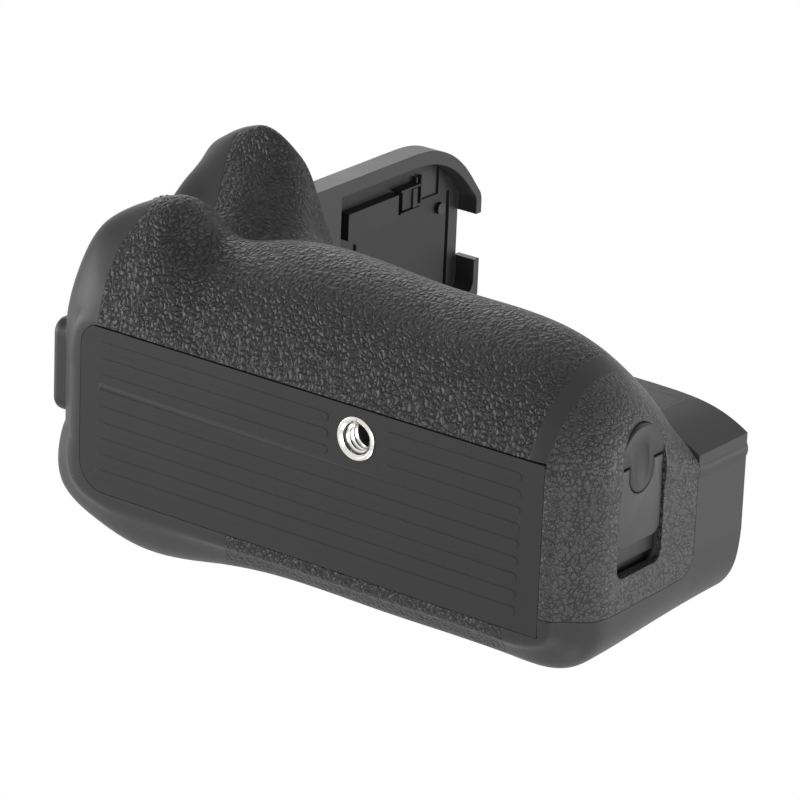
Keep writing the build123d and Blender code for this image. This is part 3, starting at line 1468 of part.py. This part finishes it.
with BuildPart() as joystick:
    add(cross_pin(stick_x, (ball_y, stick_surface + stick_lift), stick_z, stick_neck))
    add(cross_pin(stick_x, (stick_surface + stick_lift, stick_surface + stick_proud), stick_z, stick_radius))
    fillet(joystick.faces().sort_by(Axis.Y)[-1].edges(), stick_proud / 3)
    with Locations((stick_x, ball_y, stick_z)):
        Sphere(ball_radius)
    add(upright(stick_x, ball_y, grown((stick_z, stick_z), gimbal_outer - running_gap), trunnion_radius))
joystick.part.label = "joystick"
export_step(joystick.part, "parts/joystick.step")

# Electronics over the battery bay.
with BuildPart() as main_board:
    add(block(board_x, board_y, (board_bottom, board_top)))
    for x, y in board_screw_spots:
        add(upright(x, y, (board_bottom, board_top), small_screw_radius), mode=Mode.SUBTRACT)
main_board.part.label = "main_board"
export_step(main_board.part, "parts/main_board.step")

chip_shares = [(0.22, 0.55, 0.16, 0.42), (0.46, 0.40, 0.10, 0.30), (0.62, 0.62, 0.12, 0.26), (0.80, 0.45, 0.08, 0.40)]
board_length = board_x[1] - board_x[0]
board_depth = board_y[1] - board_y[0]
with BuildPart() as board_components:
    for along, across, long, wide in chip_shares:
        x = board_x[0] + along * board_length
        y = board_y[0] + across * board_depth
        add(
            block(
                grown((x, x), long * board_length / 2),
                grown((y, y), wide * board_depth / 2),
                (board_top, board_top + board_thickness),
            )
        )
board_components.part.label = "board_components"
export_step(board_components.part, "parts/board_components.step")

with BuildPart() as board_screws:
    for x, y in board_screw_spots:
        add(upright(x, y, (liner_top - liner_wall / 2, board_top), small_screw_radius))
        add(upright(x, y, (board_top, board_top + small_screw_head_height), small_screw_head))
board_screws.part.label = "board_screws"
export_step(board_screws.part, "parts/board_screws.step")

cable_x = core_hollow_x[1] - cable_thickness
cable_rear = foot_y[1] - tower_end_wall - slip_gap
cable_y = (cable_rear - cable_width, cable_rear)
cable_top = (recess_low + panel_high) / 2
with BuildPart() as flex_cable:
    add(block((cable_x, core_hollow_x[1]), cable_y, (board_top, cable_top)))
    add(block((cable_x, board_x[0] + standoff_radius), cable_y, (board_top, board_top + cable_thickness)))
flex_cable.part.label = "flex_cable"
export_step(flex_cable.part, "parts/flex_cable.step")
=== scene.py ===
import math

import bpy
from mathutils import Matrix, Vector


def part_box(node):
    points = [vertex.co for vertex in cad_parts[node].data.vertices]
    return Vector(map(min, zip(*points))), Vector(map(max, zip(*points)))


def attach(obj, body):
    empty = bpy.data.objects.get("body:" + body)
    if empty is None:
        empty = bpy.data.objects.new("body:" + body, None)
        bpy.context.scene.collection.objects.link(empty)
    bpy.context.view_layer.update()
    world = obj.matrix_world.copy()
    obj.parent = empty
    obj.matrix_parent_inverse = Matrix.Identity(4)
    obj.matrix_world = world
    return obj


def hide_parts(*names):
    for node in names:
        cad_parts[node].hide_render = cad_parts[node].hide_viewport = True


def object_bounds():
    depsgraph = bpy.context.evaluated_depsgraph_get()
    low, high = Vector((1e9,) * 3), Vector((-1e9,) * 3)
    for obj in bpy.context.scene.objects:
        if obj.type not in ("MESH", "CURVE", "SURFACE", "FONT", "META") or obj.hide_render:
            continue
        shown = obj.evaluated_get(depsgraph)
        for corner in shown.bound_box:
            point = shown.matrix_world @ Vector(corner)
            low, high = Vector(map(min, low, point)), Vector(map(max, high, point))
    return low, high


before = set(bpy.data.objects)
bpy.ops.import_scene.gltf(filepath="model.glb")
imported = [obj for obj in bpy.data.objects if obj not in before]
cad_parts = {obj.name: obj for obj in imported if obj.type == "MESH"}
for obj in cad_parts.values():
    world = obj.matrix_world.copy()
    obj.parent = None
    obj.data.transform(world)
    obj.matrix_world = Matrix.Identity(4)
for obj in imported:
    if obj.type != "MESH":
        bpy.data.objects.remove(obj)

cad_low, cad_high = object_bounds()


# Grip rubber: thermoplastic elastomer moulded over the shells in a tool etched with a leather grain.
# Flat-topped cells about 1.3 mm across stand between narrow broken creases; it is dull and nearly black. The
# creases are coloured near black as painted shade.
mm = 0.001
rubber_hex = "#272728"
crease_shade_hex = "#060607"
grain_cell = 1.25 * mm
grain_depth = 0.24 * mm
rubber_gloss = 0.3


def colour(hex_code):
    """Turn an sRGB hex code into the linear colour that the sockets take."""
    parts = [int(hex_code[place:place + 2], 16) / 255 for place in (1, 3, 5)]
    return [part / 12.92 if part <= 0.04045 else ((part + 0.055) / 1.055) ** 2.4 for part in parts] + [1]


def new_finish(name):
    """Start a material and hand back its tree and its surface shader."""
    material = bpy.data.materials.new(name)
    material.use_nodes = True
    return material, material.node_tree.nodes["Principled BSDF"]


def put(material, kind, settings, links=()):
    """Add a node to a material, with its settings and the sockets that feed it."""
    node = material.node_tree.nodes.new(kind)
    for key, value in settings.items():
        if key in node.inputs.keys() or isinstance(key, int):
            node.inputs[key].default_value = value
        else:
            setattr(node, key, value)
    for key, source in dict(links).items():
        material.node_tree.links.new(source, node.inputs[key])
    return node


def leather_grain(name, top_hex, groove_shade_hex, roughness, depth, cell):
    """Make a rubber with a moulded leather grain."""
    material, shader = new_finish(name)
    place = put(material, "ShaderNodeTexCoord", {}).outputs["Object"]
    waver = put(
        material, "ShaderNodeTexNoise", {"Scale": 1 / (1.4 * cell), "Detail": 3.0}, {"Vector": place}
    )
    centred = put(
        material, "ShaderNodeVectorMath", {"operation": "SUBTRACT", 1: (0.5, 0.5, 0.5)},
        {0: waver.outputs["Color"]},
    )
    shift = put(
        material, "ShaderNodeVectorMath", {"operation": "SCALE", "Scale": 1.2 * cell}, {0: centred.outputs[0]}
    )
    moved = put(material, "ShaderNodeVectorMath", {"operation": "ADD"}, {0: place, 1: shift.outputs[0]})
    cells = put(
        material, "ShaderNodeTexVoronoi", {"feature": "DISTANCE_TO_EDGE", "Scale": 1 / cell},
        {"Vector": moved.outputs[0]},
    )
    crease = put(
        material, "ShaderNodeMapRange",
        {"interpolation_type": "SMOOTHSTEP", "From Min": 0.02, "From Max": 0.14},
        {"Value": cells.outputs["Distance"]},
    )
    breaks = put(
        material, "ShaderNodeTexNoise", {"Scale": 1 / (1.4 * cell), "Detail": 1.0}, {"Vector": place}
    )
    bridge = put(
        material, "ShaderNodeMapRange",
        {"interpolation_type": "SMOOTHSTEP", "From Min": 0.5, "From Max": 0.62, "To Max": 0.75},
        {"Value": breaks.outputs["Fac"]},
    )
    top = put(
        material, "ShaderNodeMath", {"operation": "MAXIMUM"}, {0: crease.outputs[0], 1: bridge.outputs[0]}
    )
    pebble = put(
        material, "ShaderNodeMapRange", {"interpolation_type": "SMOOTHERSTEP", "From Max": 0.42},
        {"Value": cells.outputs["Distance"]},
    )
    pits = put(material, "ShaderNodeTexNoise", {"Scale": 1 / (0.5 * mm), "Detail": 2.0}, {"Vector": place})
    rough = put(
        material, "ShaderNodeMath", {"operation": "MULTIPLY_ADD", 1: 0.35},
        {0: pits.outputs["Fac"], 2: top.outputs[0]},
    )
    height = put(
        material, "ShaderNodeMath", {"operation": "MULTIPLY_ADD", 1: 0.8},
        {0: pebble.outputs[0], 2: rough.outputs[0]},
    )
    edge = put(material, "ShaderNodeBevel", {"samples": 6, "Radius": 0.25 * mm})
    bump = put(
        material, "ShaderNodeBump", {"Strength": 1.0, "Distance": depth},
        {"Height": height.outputs[0], "Normal": edge.outputs[0]},
    )
    # Creases take the groove colour and the tops take the top colour: the darker creases are painted shade.
    tone = put(material, "ShaderNodeMix", {"data_type": "RGBA", 6: colour(groove_shade_hex), 7: colour(top_hex)},
               {0: top.outputs[0]})
    material.node_tree.links.new(tone.outputs[2], shader.inputs["Base Color"])
    material.node_tree.links.new(bump.outputs[0], shader.inputs["Normal"])
    shader.inputs["Roughness"].default_value = roughness
    shader.inputs["Specular IOR Level"].default_value = rubber_gloss
    return material


def dress(node, material):
    """Give a CAD node its material."""
    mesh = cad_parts[node].data
    mesh.materials.clear()
    mesh.materials.append(material)


grip_rubber = leather_grain(
    "moulded grip rubber", rubber_hex, crease_shade_hex, 0.44, grain_depth, grain_cell
)
dress("front_grip_rubber", grip_rubber)
dress("rear_grip_rubber", grip_rubber)


# The casing is glass-filled polycarbonate, moulded with a fine spark-eroded texture and left unpainted.
# The texture is too fine to see as grains and only makes the surface satin.
casing_gloss = 0.25


def moulded(name, hex_code, roughness, grit, depth, rounding=0.3 * mm):
    """Make a moulded plastic with a fine etched texture."""
    material, shader = new_finish(name)
    place = put(material, "ShaderNodeTexCoord", {}).outputs["Object"]
    grains = put(
        material, "ShaderNodeTexNoise", {"Scale": 1 / grit, "Detail": 2.0, "Roughness": 0.6},
        {"Vector": place},
    )
    patches = put(material, "ShaderNodeTexNoise", {"Scale": 1 / (14 * mm), "Detail": 3.0}, {"Vector": place})
    edge = put(material, "ShaderNodeBevel", {"samples": 6, "Radius": rounding})
    bump = put(
        material, "ShaderNodeBump", {"Strength": 1.0, "Distance": depth},
        {"Height": grains.outputs["Fac"], "Normal": edge.outputs[0]},
    )
    gloss = put(
        material, "ShaderNodeMapRange", {"To Min": roughness - 0.06, "To Max": roughness + 0.06},
        {"Value": patches.outputs["Fac"]},
    )
    base = colour(hex_code)
    darker = [0.9 * part for part in base[:3]] + [1]
    lighter = [1.1 * part for part in base[:3]] + [1]
    tone = put(
        material, "ShaderNodeMix", {"data_type": "RGBA", 6: darker, 7: lighter},
        {0: patches.outputs["Fac"]},
    )
    material.node_tree.links.new(tone.outputs[2], shader.inputs["Base Color"])
    material.node_tree.links.new(gloss.outputs[0], shader.inputs["Roughness"])
    material.node_tree.links.new(bump.outputs[0], shader.inputs["Normal"])
    shader.inputs["Specular IOR Level"].default_value = casing_gloss
    return material


casing = moulded("etched polycarbonate", "#303031", 0.46, 0.22 * mm, 0.02 * mm)
for node in ("front_shell", "rear_shell", "end_housing", "top_deck"):
    dress(node, casing)


# Base plate: smooth polycarbonate with low ribs, pressed into the shells; its seam shows as a thin dark line.
# It is a little darker and smoother than the shells, and its ribs are worn soft.
base_plastic = moulded("smooth polycarbonate", "#272728", 0.5, 0.3 * mm, 0.006 * mm, 0.12 * mm)
worn_rib_height = 0.2 * mm
front_seam = 0.22 * mm


def taken_from(node, name):
    """Copy a CAD node's mesh as a new piece, its loose triangles merged and its flats made whole."""
    bpy.ops.object.select_all(action="DESELECT")
    piece = bpy.data.objects.new(name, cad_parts[node].data.copy())
    bpy.context.scene.collection.objects.link(piece)
    bpy.context.view_layer.objects.active = piece
    piece.select_set(True)
    bpy.ops.object.mode_set(mode="EDIT")
    bpy.ops.mesh.select_all(action="SELECT")
    bpy.ops.mesh.remove_doubles(threshold=0.002 * mm)
    bpy.ops.mesh.dissolve_limited(angle_limit=math.radians(0.5))
    bpy.ops.object.mode_set(mode="OBJECT")
    return piece


def smooth(piece, angle=35):
    """Shade a piece smoothly except at its sharp edges."""
    bpy.ops.object.select_all(action="DESELECT")
    piece.select_set(True)
    bpy.context.view_layer.objects.active = piece
    bpy.ops.object.shade_smooth_by_angle(angle=math.radians(angle))


def round_edges(piece, width, steps=3):
    """Round a piece's sharp edges."""
    bpy.ops.object.select_all(action="DESELECT")
    piece.select_set(True)
    bpy.context.view_layer.objects.active = piece
    rounding = piece.modifiers.new("rounding", "BEVEL")
    rounding.width = width
    rounding.segments = steps
    rounding.limit_method = "ANGLE"
    rounding.angle_limit = math.radians(40)
    rounding.use_clamp_overlap = True
    bpy.ops.object.modifier_apply(modifier=rounding.name)
    smooth(piece)


def finish_piece(piece, material, body, nodes=()):
    """Give a piece its material, its body and the CAD nodes that it stands for."""
    piece.data.materials.clear()
    piece.data.materials.append(material)
    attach(piece, body)
    if nodes:
        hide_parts(*nodes)


plate = taken_from("base_plate", "ribbed_base")
plate_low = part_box("base_plate")[0]
for corner in plate.data.vertices:
    if corner.co.z < plate_low.z + worn_rib_height:
        corner.co.z = plate_low.z + worn_rib_height
    if corner.co.y < plate_low.y + front_seam:
        corner.co.y = plate_low.y + front_seam
smooth(plate)
finish_piece(plate, base_plastic, "body", ["base_plate"])


# Tripod socket: a brass bushing, turned, threaded inside and nickel plated, pulled against the chassis plate.
# Its lip stands flush in the base plate and the mouth of the thread is chamfered.
socket_low, socket_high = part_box("tripod_bushing")
lip_radius = 4.3 * mm
lip_edge = 0.2 * mm
collar_radius = socket_high.x
bore_radius = 3.15 * mm
mouth_radius = 3.6 * mm
mouth_depth = 0.45 * mm
thread_pitch = 1.27 * mm
thread_crest = 2.55 * mm
thread_turns = 3
thread_steps = 48
collar_rise = 2.6 * mm


def start_piece(name):
    """Name the primitive just added and put its place into its mesh."""
    piece = bpy.context.object
    piece.name = name
    bpy.ops.object.transform_apply(location=True, rotation=True, scale=True)
    return piece


bpy.ops.object.select_all(action="DESELECT")
bpy.ops.mesh.primitive_circle_add(vertices=96, radius=mouth_radius, location=(0, 0, socket_low.z))
socket = start_piece("tripod_socket")
profile = [
    (lip_radius - lip_edge, socket_low.z),
    (lip_radius, socket_low.z + lip_edge),
    (lip_radius, collar_rise),
    (collar_radius, collar_rise),
    (collar_radius, socket_high.z),
    (bore_radius, socket_high.z),
    (bore_radius, socket_low.z + mouth_depth),
    (mouth_radius, socket_low.z),
]
bpy.ops.object.mode_set(mode="EDIT")
bpy.ops.mesh.select_all(action="SELECT")
last_radius, last_height = mouth_radius, socket_low.z
for radius, height in profile:
    bpy.ops.mesh.extrude_region_move(TRANSFORM_OT_translate={"value": (0, 0, height - last_height)})
    grow = radius / last_radius
    bpy.ops.transform.resize(value=(grow, grow, 1), center_override=(0, 0, 0))
    last_radius, last_height = radius, height
bpy.ops.mesh.select_all(action="SELECT")
bpy.ops.mesh.remove_doubles(threshold=0.005 * mm)
bpy.ops.mesh.normals_make_consistent(inside=False)
bpy.ops.object.mode_set(mode="OBJECT")
smooth(socket)

bpy.ops.object.select_all(action="DESELECT")
bpy.ops.mesh.primitive_circle_add(
    vertices=3, radius=thread_pitch / 2, fill_type="NGON", location=(0, 0, 0),
)
thread = start_piece("socket_thread")
for corner, spot in zip(thread.data.vertices, [(-0.46, 1), (0.46, 1), (0, 0)]):
    corner.co = (thread_crest + spot[1] * (bore_radius + 0.05 * mm - thread_crest), 0, spot[0] * thread_pitch)
for corner in thread.data.vertices:
    corner.co.z += socket_low.z + mouth_depth + thread_pitch / 2
turns = thread.modifiers.new("turns", "SCREW")
turns.axis = "Z"
turns.screw_offset = thread_pitch
turns.iterations = thread_turns
turns.steps = thread_steps
turns.render_steps = thread_steps
bpy.ops.object.modifier_apply(modifier=turns.name)
bpy.ops.object.mode_set(mode="EDIT")
bpy.ops.mesh.select_all(action="SELECT")
bpy.ops.mesh.remove_doubles(threshold=0.005 * mm)
bpy.ops.mesh.normals_make_consistent(inside=False)
bpy.ops.object.mode_set(mode="OBJECT")
smooth(thread)


def metal(name, hex_code, roughness, scratch):
    """Make a metal with fine turning marks in its gloss."""
    material, shader = new_finish(name)
    place = put(material, "ShaderNodeTexCoord", {}).outputs["Object"]
    marks = put(material, "ShaderNodeTexNoise", {"Scale": 1 / scratch, "Detail": 4.0}, {"Vector": place})
    gloss = put(
        material, "ShaderNodeMapRange", {"To Min": roughness * 0.7, "To Max": roughness * 1.3},
        {"Value": marks.outputs["Fac"]},
    )
    edge = put(material, "ShaderNodeBevel", {"samples": 4, "Radius": 0.1 * mm})
    shader.inputs["Base Color"].default_value = colour(hex_code)
    shader.inputs["Metallic"].default_value = 1
    material.node_tree.links.new(gloss.outputs[0], shader.inputs["Roughness"])
    material.node_tree.links.new(edge.outputs[0], shader.inputs["Normal"])
    return material


nickel = metal("nickel-plated brass", "#DDDCD8", 0.2, 0.4 * mm)
finish_piece(socket, nickel, "body", ["tripod_bushing"])

# The thread is coloured dark at its roots and light at its crests: painted shade in the roots and a painted
# highlight on the crests.
painted_shade_thread = metal("nickel-plated thread", "#DDDCD8", 0.25, 0.4 * mm)
place = put(painted_shade_thread, "ShaderNodeTexCoord", {}).outputs["Object"]
flat = put(painted_shade_thread, "ShaderNodeMapping", {"Scale": (1, 1, 0)}, {"Vector": place})
reach = put(painted_shade_thread, "ShaderNodeVectorMath", {"operation": "LENGTH"}, {0: flat.outputs[0]})
inward = put(
    painted_shade_thread, "ShaderNodeMapRange",
    {"From Min": bore_radius - 0.1 * mm, "From Max": thread_crest + 0.15 * mm},
    {"Value": reach.outputs["Value"]},
)
tone = put(painted_shade_thread, "ShaderNodeMix", {"data_type": "RGBA", 6: colour("#26262A"), 7: colour("#E8E7E4")},
           {0: inward.outputs[0]})
shader = painted_shade_thread.node_tree.nodes["Principled BSDF"]
painted_shade_thread.node_tree.links.new(tone.outputs[2], shader.inputs["Base Color"])
finish_piece(thread, painted_shade_thread, "body")


# Chassis, brackets and axles are pressed and turned steel, zinc plated; screws are blackened steel.
# None of it shows from below; it is seen from the deck's side and with the magazine out.
steel = metal("zinc-plated steel", "#A9ABAD", 0.35, 0.5 * mm)
for node in ("chassis_plate", "drive_bracket", "wheel_axle", "front_dial_axle", "front_dial_bracket",
             "rear_dial_axle", "rear_dial_bracket", "magazine_screws", "latch_bolt", "board_screws"):
    dress(node, steel)
black_steel = metal("blackened steel", "#3A3A3C", 0.4, 0.5 * mm)
for node in ("deck_screws", "tower_cover_screws", "panel_screw"):
    dress(node, black_steel)
for node in ("camera_screw", "locating_pin"):
    dress(node, nickel)
brass = metal("machined brass", "#C9A45A", 0.3, 0.5 * mm)
for node in ("wheel_gear", "screw_gear"):
    dress(node, brass)
gold = metal("gold-flashed contact", "#E3B65C", 0.22, 0.5 * mm)
for node in ("bay_contact_pins", "tower_contacts", "magazine_contacts"):
    dress(node, gold)


# Bay liner, magazine tray and switch seats are plain black nylon, moulded without texture.
# The boards under them are fibreglass with green solder mask, and the cable is amber polyimide film.
inner_plastic = moulded("plain black nylon", "#1E1E1F", 0.55, 0.3 * mm, 0.01 * mm)
for node in ("bay_liner", "bay_contact_block", "tower_contact_block", "magazine_tray", "joystick_base",
             "joystick_gimbal", "board_components"):
    dress(node, inner_plastic)
board_green = moulded("solder mask", "#14402A", 0.35, 0.5 * mm, 0.01 * mm)
for node in ("main_board", "rear_switch_board", "shutter_switch"):
    dress(node, board_green)
amber_film = moulded("polyimide film", "#8A5A1E", 0.3, 0.5 * mm, 0.004 * mm)
dress("flex_cable", amber_film)


# Battery tower: a frame of satin polycarbonate that stands in the camera's battery chamber.
# Its recess is moulded in the same plastic; the recess panel and the cover clip get a darker copy of it as
# painted shade, where little light gets in.
tower_plastic = moulded("satin tower polycarbonate", "#303031", 0.42, 0.3 * mm, 0.008 * mm)
for node in ("tower_frame", "tower_back_cover"):
    dress(node, tower_plastic)
recess_shade_plastic = moulded("matt recess polycarbonate, painted shade", "#1F1F20", 0.5, 0.3 * mm, 0.01 * mm, 0.2 * mm)
for node in ("recess_panel", "cover_clip"):
    dress(node, recess_shade_plastic)


# Magazine's end cap is the battery door: polycarbonate under a thin skin with the same leather grain.
# The skin is a little harder and glossier than the grip rubber, and its grain is shallower.
dress("magazine_end_cap", casing)
# Its groove colour is painted shade in the creases, as on the grip rubber.
door_rubber = leather_grain("moulded door skin", "#39393A", "#161617", 0.42, 0.1 * mm, 1 * mm)
dress("door_skin", door_rubber)


# Door latch: key and slider are acetal with polished flats and small rounded edges.
# The key has a finger dish pressed in from its half disc down to the end of its tongue.
latch_plastic = moulded("satin acetal", "#39393A", 0.45, 0.3 * mm, 0.004 * mm)
# The key is a darker copy of the slider's acetal: painted shade for the key sunk in the door's pocket.
key_shade_acetal = moulded("matt acetal, painted shade", "#2B2B2C", 0.5, 0.3 * mm, 0.004 * mm)

dish_length = 9.4 * mm
dish_width = 4.6 * mm
dish_depth = 0.45 * mm
dish_margin = 1.15
dish_from_tongue = 0.5 * mm
slider_edge = 0.22 * mm
key_edge = 0.15 * mm
key_low, key_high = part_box("latch_key")
slider = taken_from("latch_slider", "latch_thumb_slider")
round_edges(slider, slider_edge)
finish_piece(slider, latch_plastic, "slider", ["latch_slider"])

latch_middle = (key_low.z + key_high.z) / 2
key = taken_from("latch_key", "latch_press_key")
bpy.ops.object.select_all(action="DESELECT")
bpy.ops.mesh.primitive_uv_sphere_add(
    segments=64, ring_count=48, radius=1,
    location=(key_high.x + dish_depth, key_high.y - dish_length / 2 - dish_from_tongue, latch_middle),
    scale=(2 * dish_depth, dish_length / 2 * dish_margin, dish_width / 2 * dish_margin),
)
dish = start_piece("dish_tool")
bpy.ops.object.select_all(action="DESELECT")
key.select_set(True)
bpy.context.view_layer.objects.active = key
pressed = key.modifiers.new("dish", "BOOLEAN")
pressed.operation = "DIFFERENCE"
pressed.object = dish
bpy.ops.object.modifier_apply(modifier=pressed.name)
bpy.data.objects.remove(dish)
round_edges(key, key_edge, 2)
finish_piece(key, key_shade_acetal, "key", ["latch_key"])


# Controls: keys, dials and the stick are semi-gloss acetal, finer and blacker than the casing.
# The dials' flutes are moulded sharp for grip.
control_plastic = moulded("semi-gloss acetal", "#1C1C1D", 0.34, 0.3 * mm, 0.004 * mm, 0.2 * mm)
for node in ("lock_wheel", "shutter_button", "power_ring", "front_dial", "rear_dial", "focus_button",
             "exposure_lock_button", "function_button", "joystick", "battery_catch_inner",
             "battery_catch_outer"):
    dress(node, control_plastic)


# The photograph's camera looks up at the base from the finger side and the door's end.
view_right = Vector((0.7972, -0.0378, 0.6025))
view_up = Vector((-0.2472, -0.931, 0.2687))
view_ahead = Vector((-0.5507, 0.3631, 0.7515))
camera_data = bpy.data.cameras.new("photo_camera")
camera_data.lens = 233.55
camera_data.sensor_width = 36
camera_data.clip_start = 0.05
camera_data.clip_end = 20
camera = bpy.data.objects.new("photo_camera", camera_data)
bpy.context.scene.collection.objects.link(camera)
camera.matrix_world = Matrix.Translation((0.5327, -0.3551, -0.7133)) @ Matrix(
    (view_right, view_up, -view_ahead)
).transposed().to_4x4()
bpy.context.scene.camera = camera

# Studio: large soft lamps in front and at both sides, hardly any from above, and a white surround.
middle = (cad_low + cad_high) / 2


def lamp(name, across, up, toward, size, watts):
    """Hang a square soft lamp at a place given along the photograph's own axes, aimed at the object."""
    data = bpy.data.lights.new(name, "AREA")
    data.size = size
    data.energy = watts
    lamp_object = bpy.data.objects.new(name, data)
    bpy.context.scene.collection.objects.link(lamp_object)
    lamp_object.location = middle + across * view_right + up * view_up - toward * view_ahead
    lamp_object.rotation_mode = "QUATERNION"
    lamp_object.rotation_quaternion = (middle - lamp_object.location).to_track_quat("-Z", "Y")
    lamp_object.visible_camera = False


lamp("front_softbox", 0.1, -0.35, 1.1, 0.8, 9)
lamp("right_softbox", 1.0, -0.1, 0.05, 0.5, 5.5)
lamp("right_front_softbox", 0.75, -0.2, 0.7, 0.35, 3)
lamp("left_softbox", -1.0, 0.1, -0.1, 0.5, 8)
lamp("low_softbox", 0.0, -0.95, 0.1, 0.5, 2)
lamp("far_softbox", -0.2, 0.9, -0.9, 0.6, 3)

bpy.context.scene.view_settings.view_transform = "Standard"
world = bpy.data.worlds.new("white surround")
bpy.context.scene.world = world
world.use_nodes = True
tree = world.node_tree
seen = tree.nodes.new("ShaderNodeLightPath")
either = tree.nodes.new("ShaderNodeMath")
either.operation = "MAXIMUM"
tree.links.new(seen.outputs["Is Camera Ray"], either.inputs[0])
tree.links.new(seen.outputs["Is Glossy Ray"], either.inputs[1])
any_of = tree.nodes.new("ShaderNodeMath")
any_of.operation = "MAXIMUM"
tree.links.new(either.outputs[0], any_of.inputs[0])
tree.links.new(seen.outputs["Is Transmission Ray"], any_of.inputs[1])
strength = tree.nodes.new("ShaderNodeMapRange")
strength.inputs["To Min"].default_value = 0.09
strength.inputs["To Max"].default_value = 1.0
tree.links.new(any_of.outputs[0], strength.inputs["Value"])
tree.nodes["Background"].inputs["Color"].default_value = (1, 1, 1, 1)
tree.links.new(strength.outputs[0], tree.nodes["Background"].inputs["Strength"])

# The floor is a pale sheet that shows only from above, so that the photograph's view from below sees past it.
floor_size = 6.0
bpy.ops.object.select_all(action="DESELECT")
bpy.ops.mesh.primitive_plane_add(size=floor_size, location=(0, 0, 0))
floor = bpy.context.object
floor.name = "floor"
floor_paint, shader = new_finish("pale floor")
shader.inputs["Base Color"].default_value = colour("#F2F2F0")
shader.inputs["Roughness"].default_value = 0.8
clear = put(floor_paint, "ShaderNodeBsdfTransparent", {})
side = put(floor_paint, "ShaderNodeNewGeometry", {})
mixed = put(
    floor_paint, "ShaderNodeMixShader", {},
    {0: side.outputs["Backfacing"], 1: shader.outputs[0], 2: clear.outputs[0]},
)
surface = floor_paint.node_tree.nodes["Material Output"].inputs["Surface"]
floor_paint.node_tree.links.new(mixed.outputs[0], surface)
floor.data.materials.append(floor_paint)
floor.visible_shadow = False
floor.visible_diffuse = False
floor.visible_glossy = False
floor.visible_transmission = False
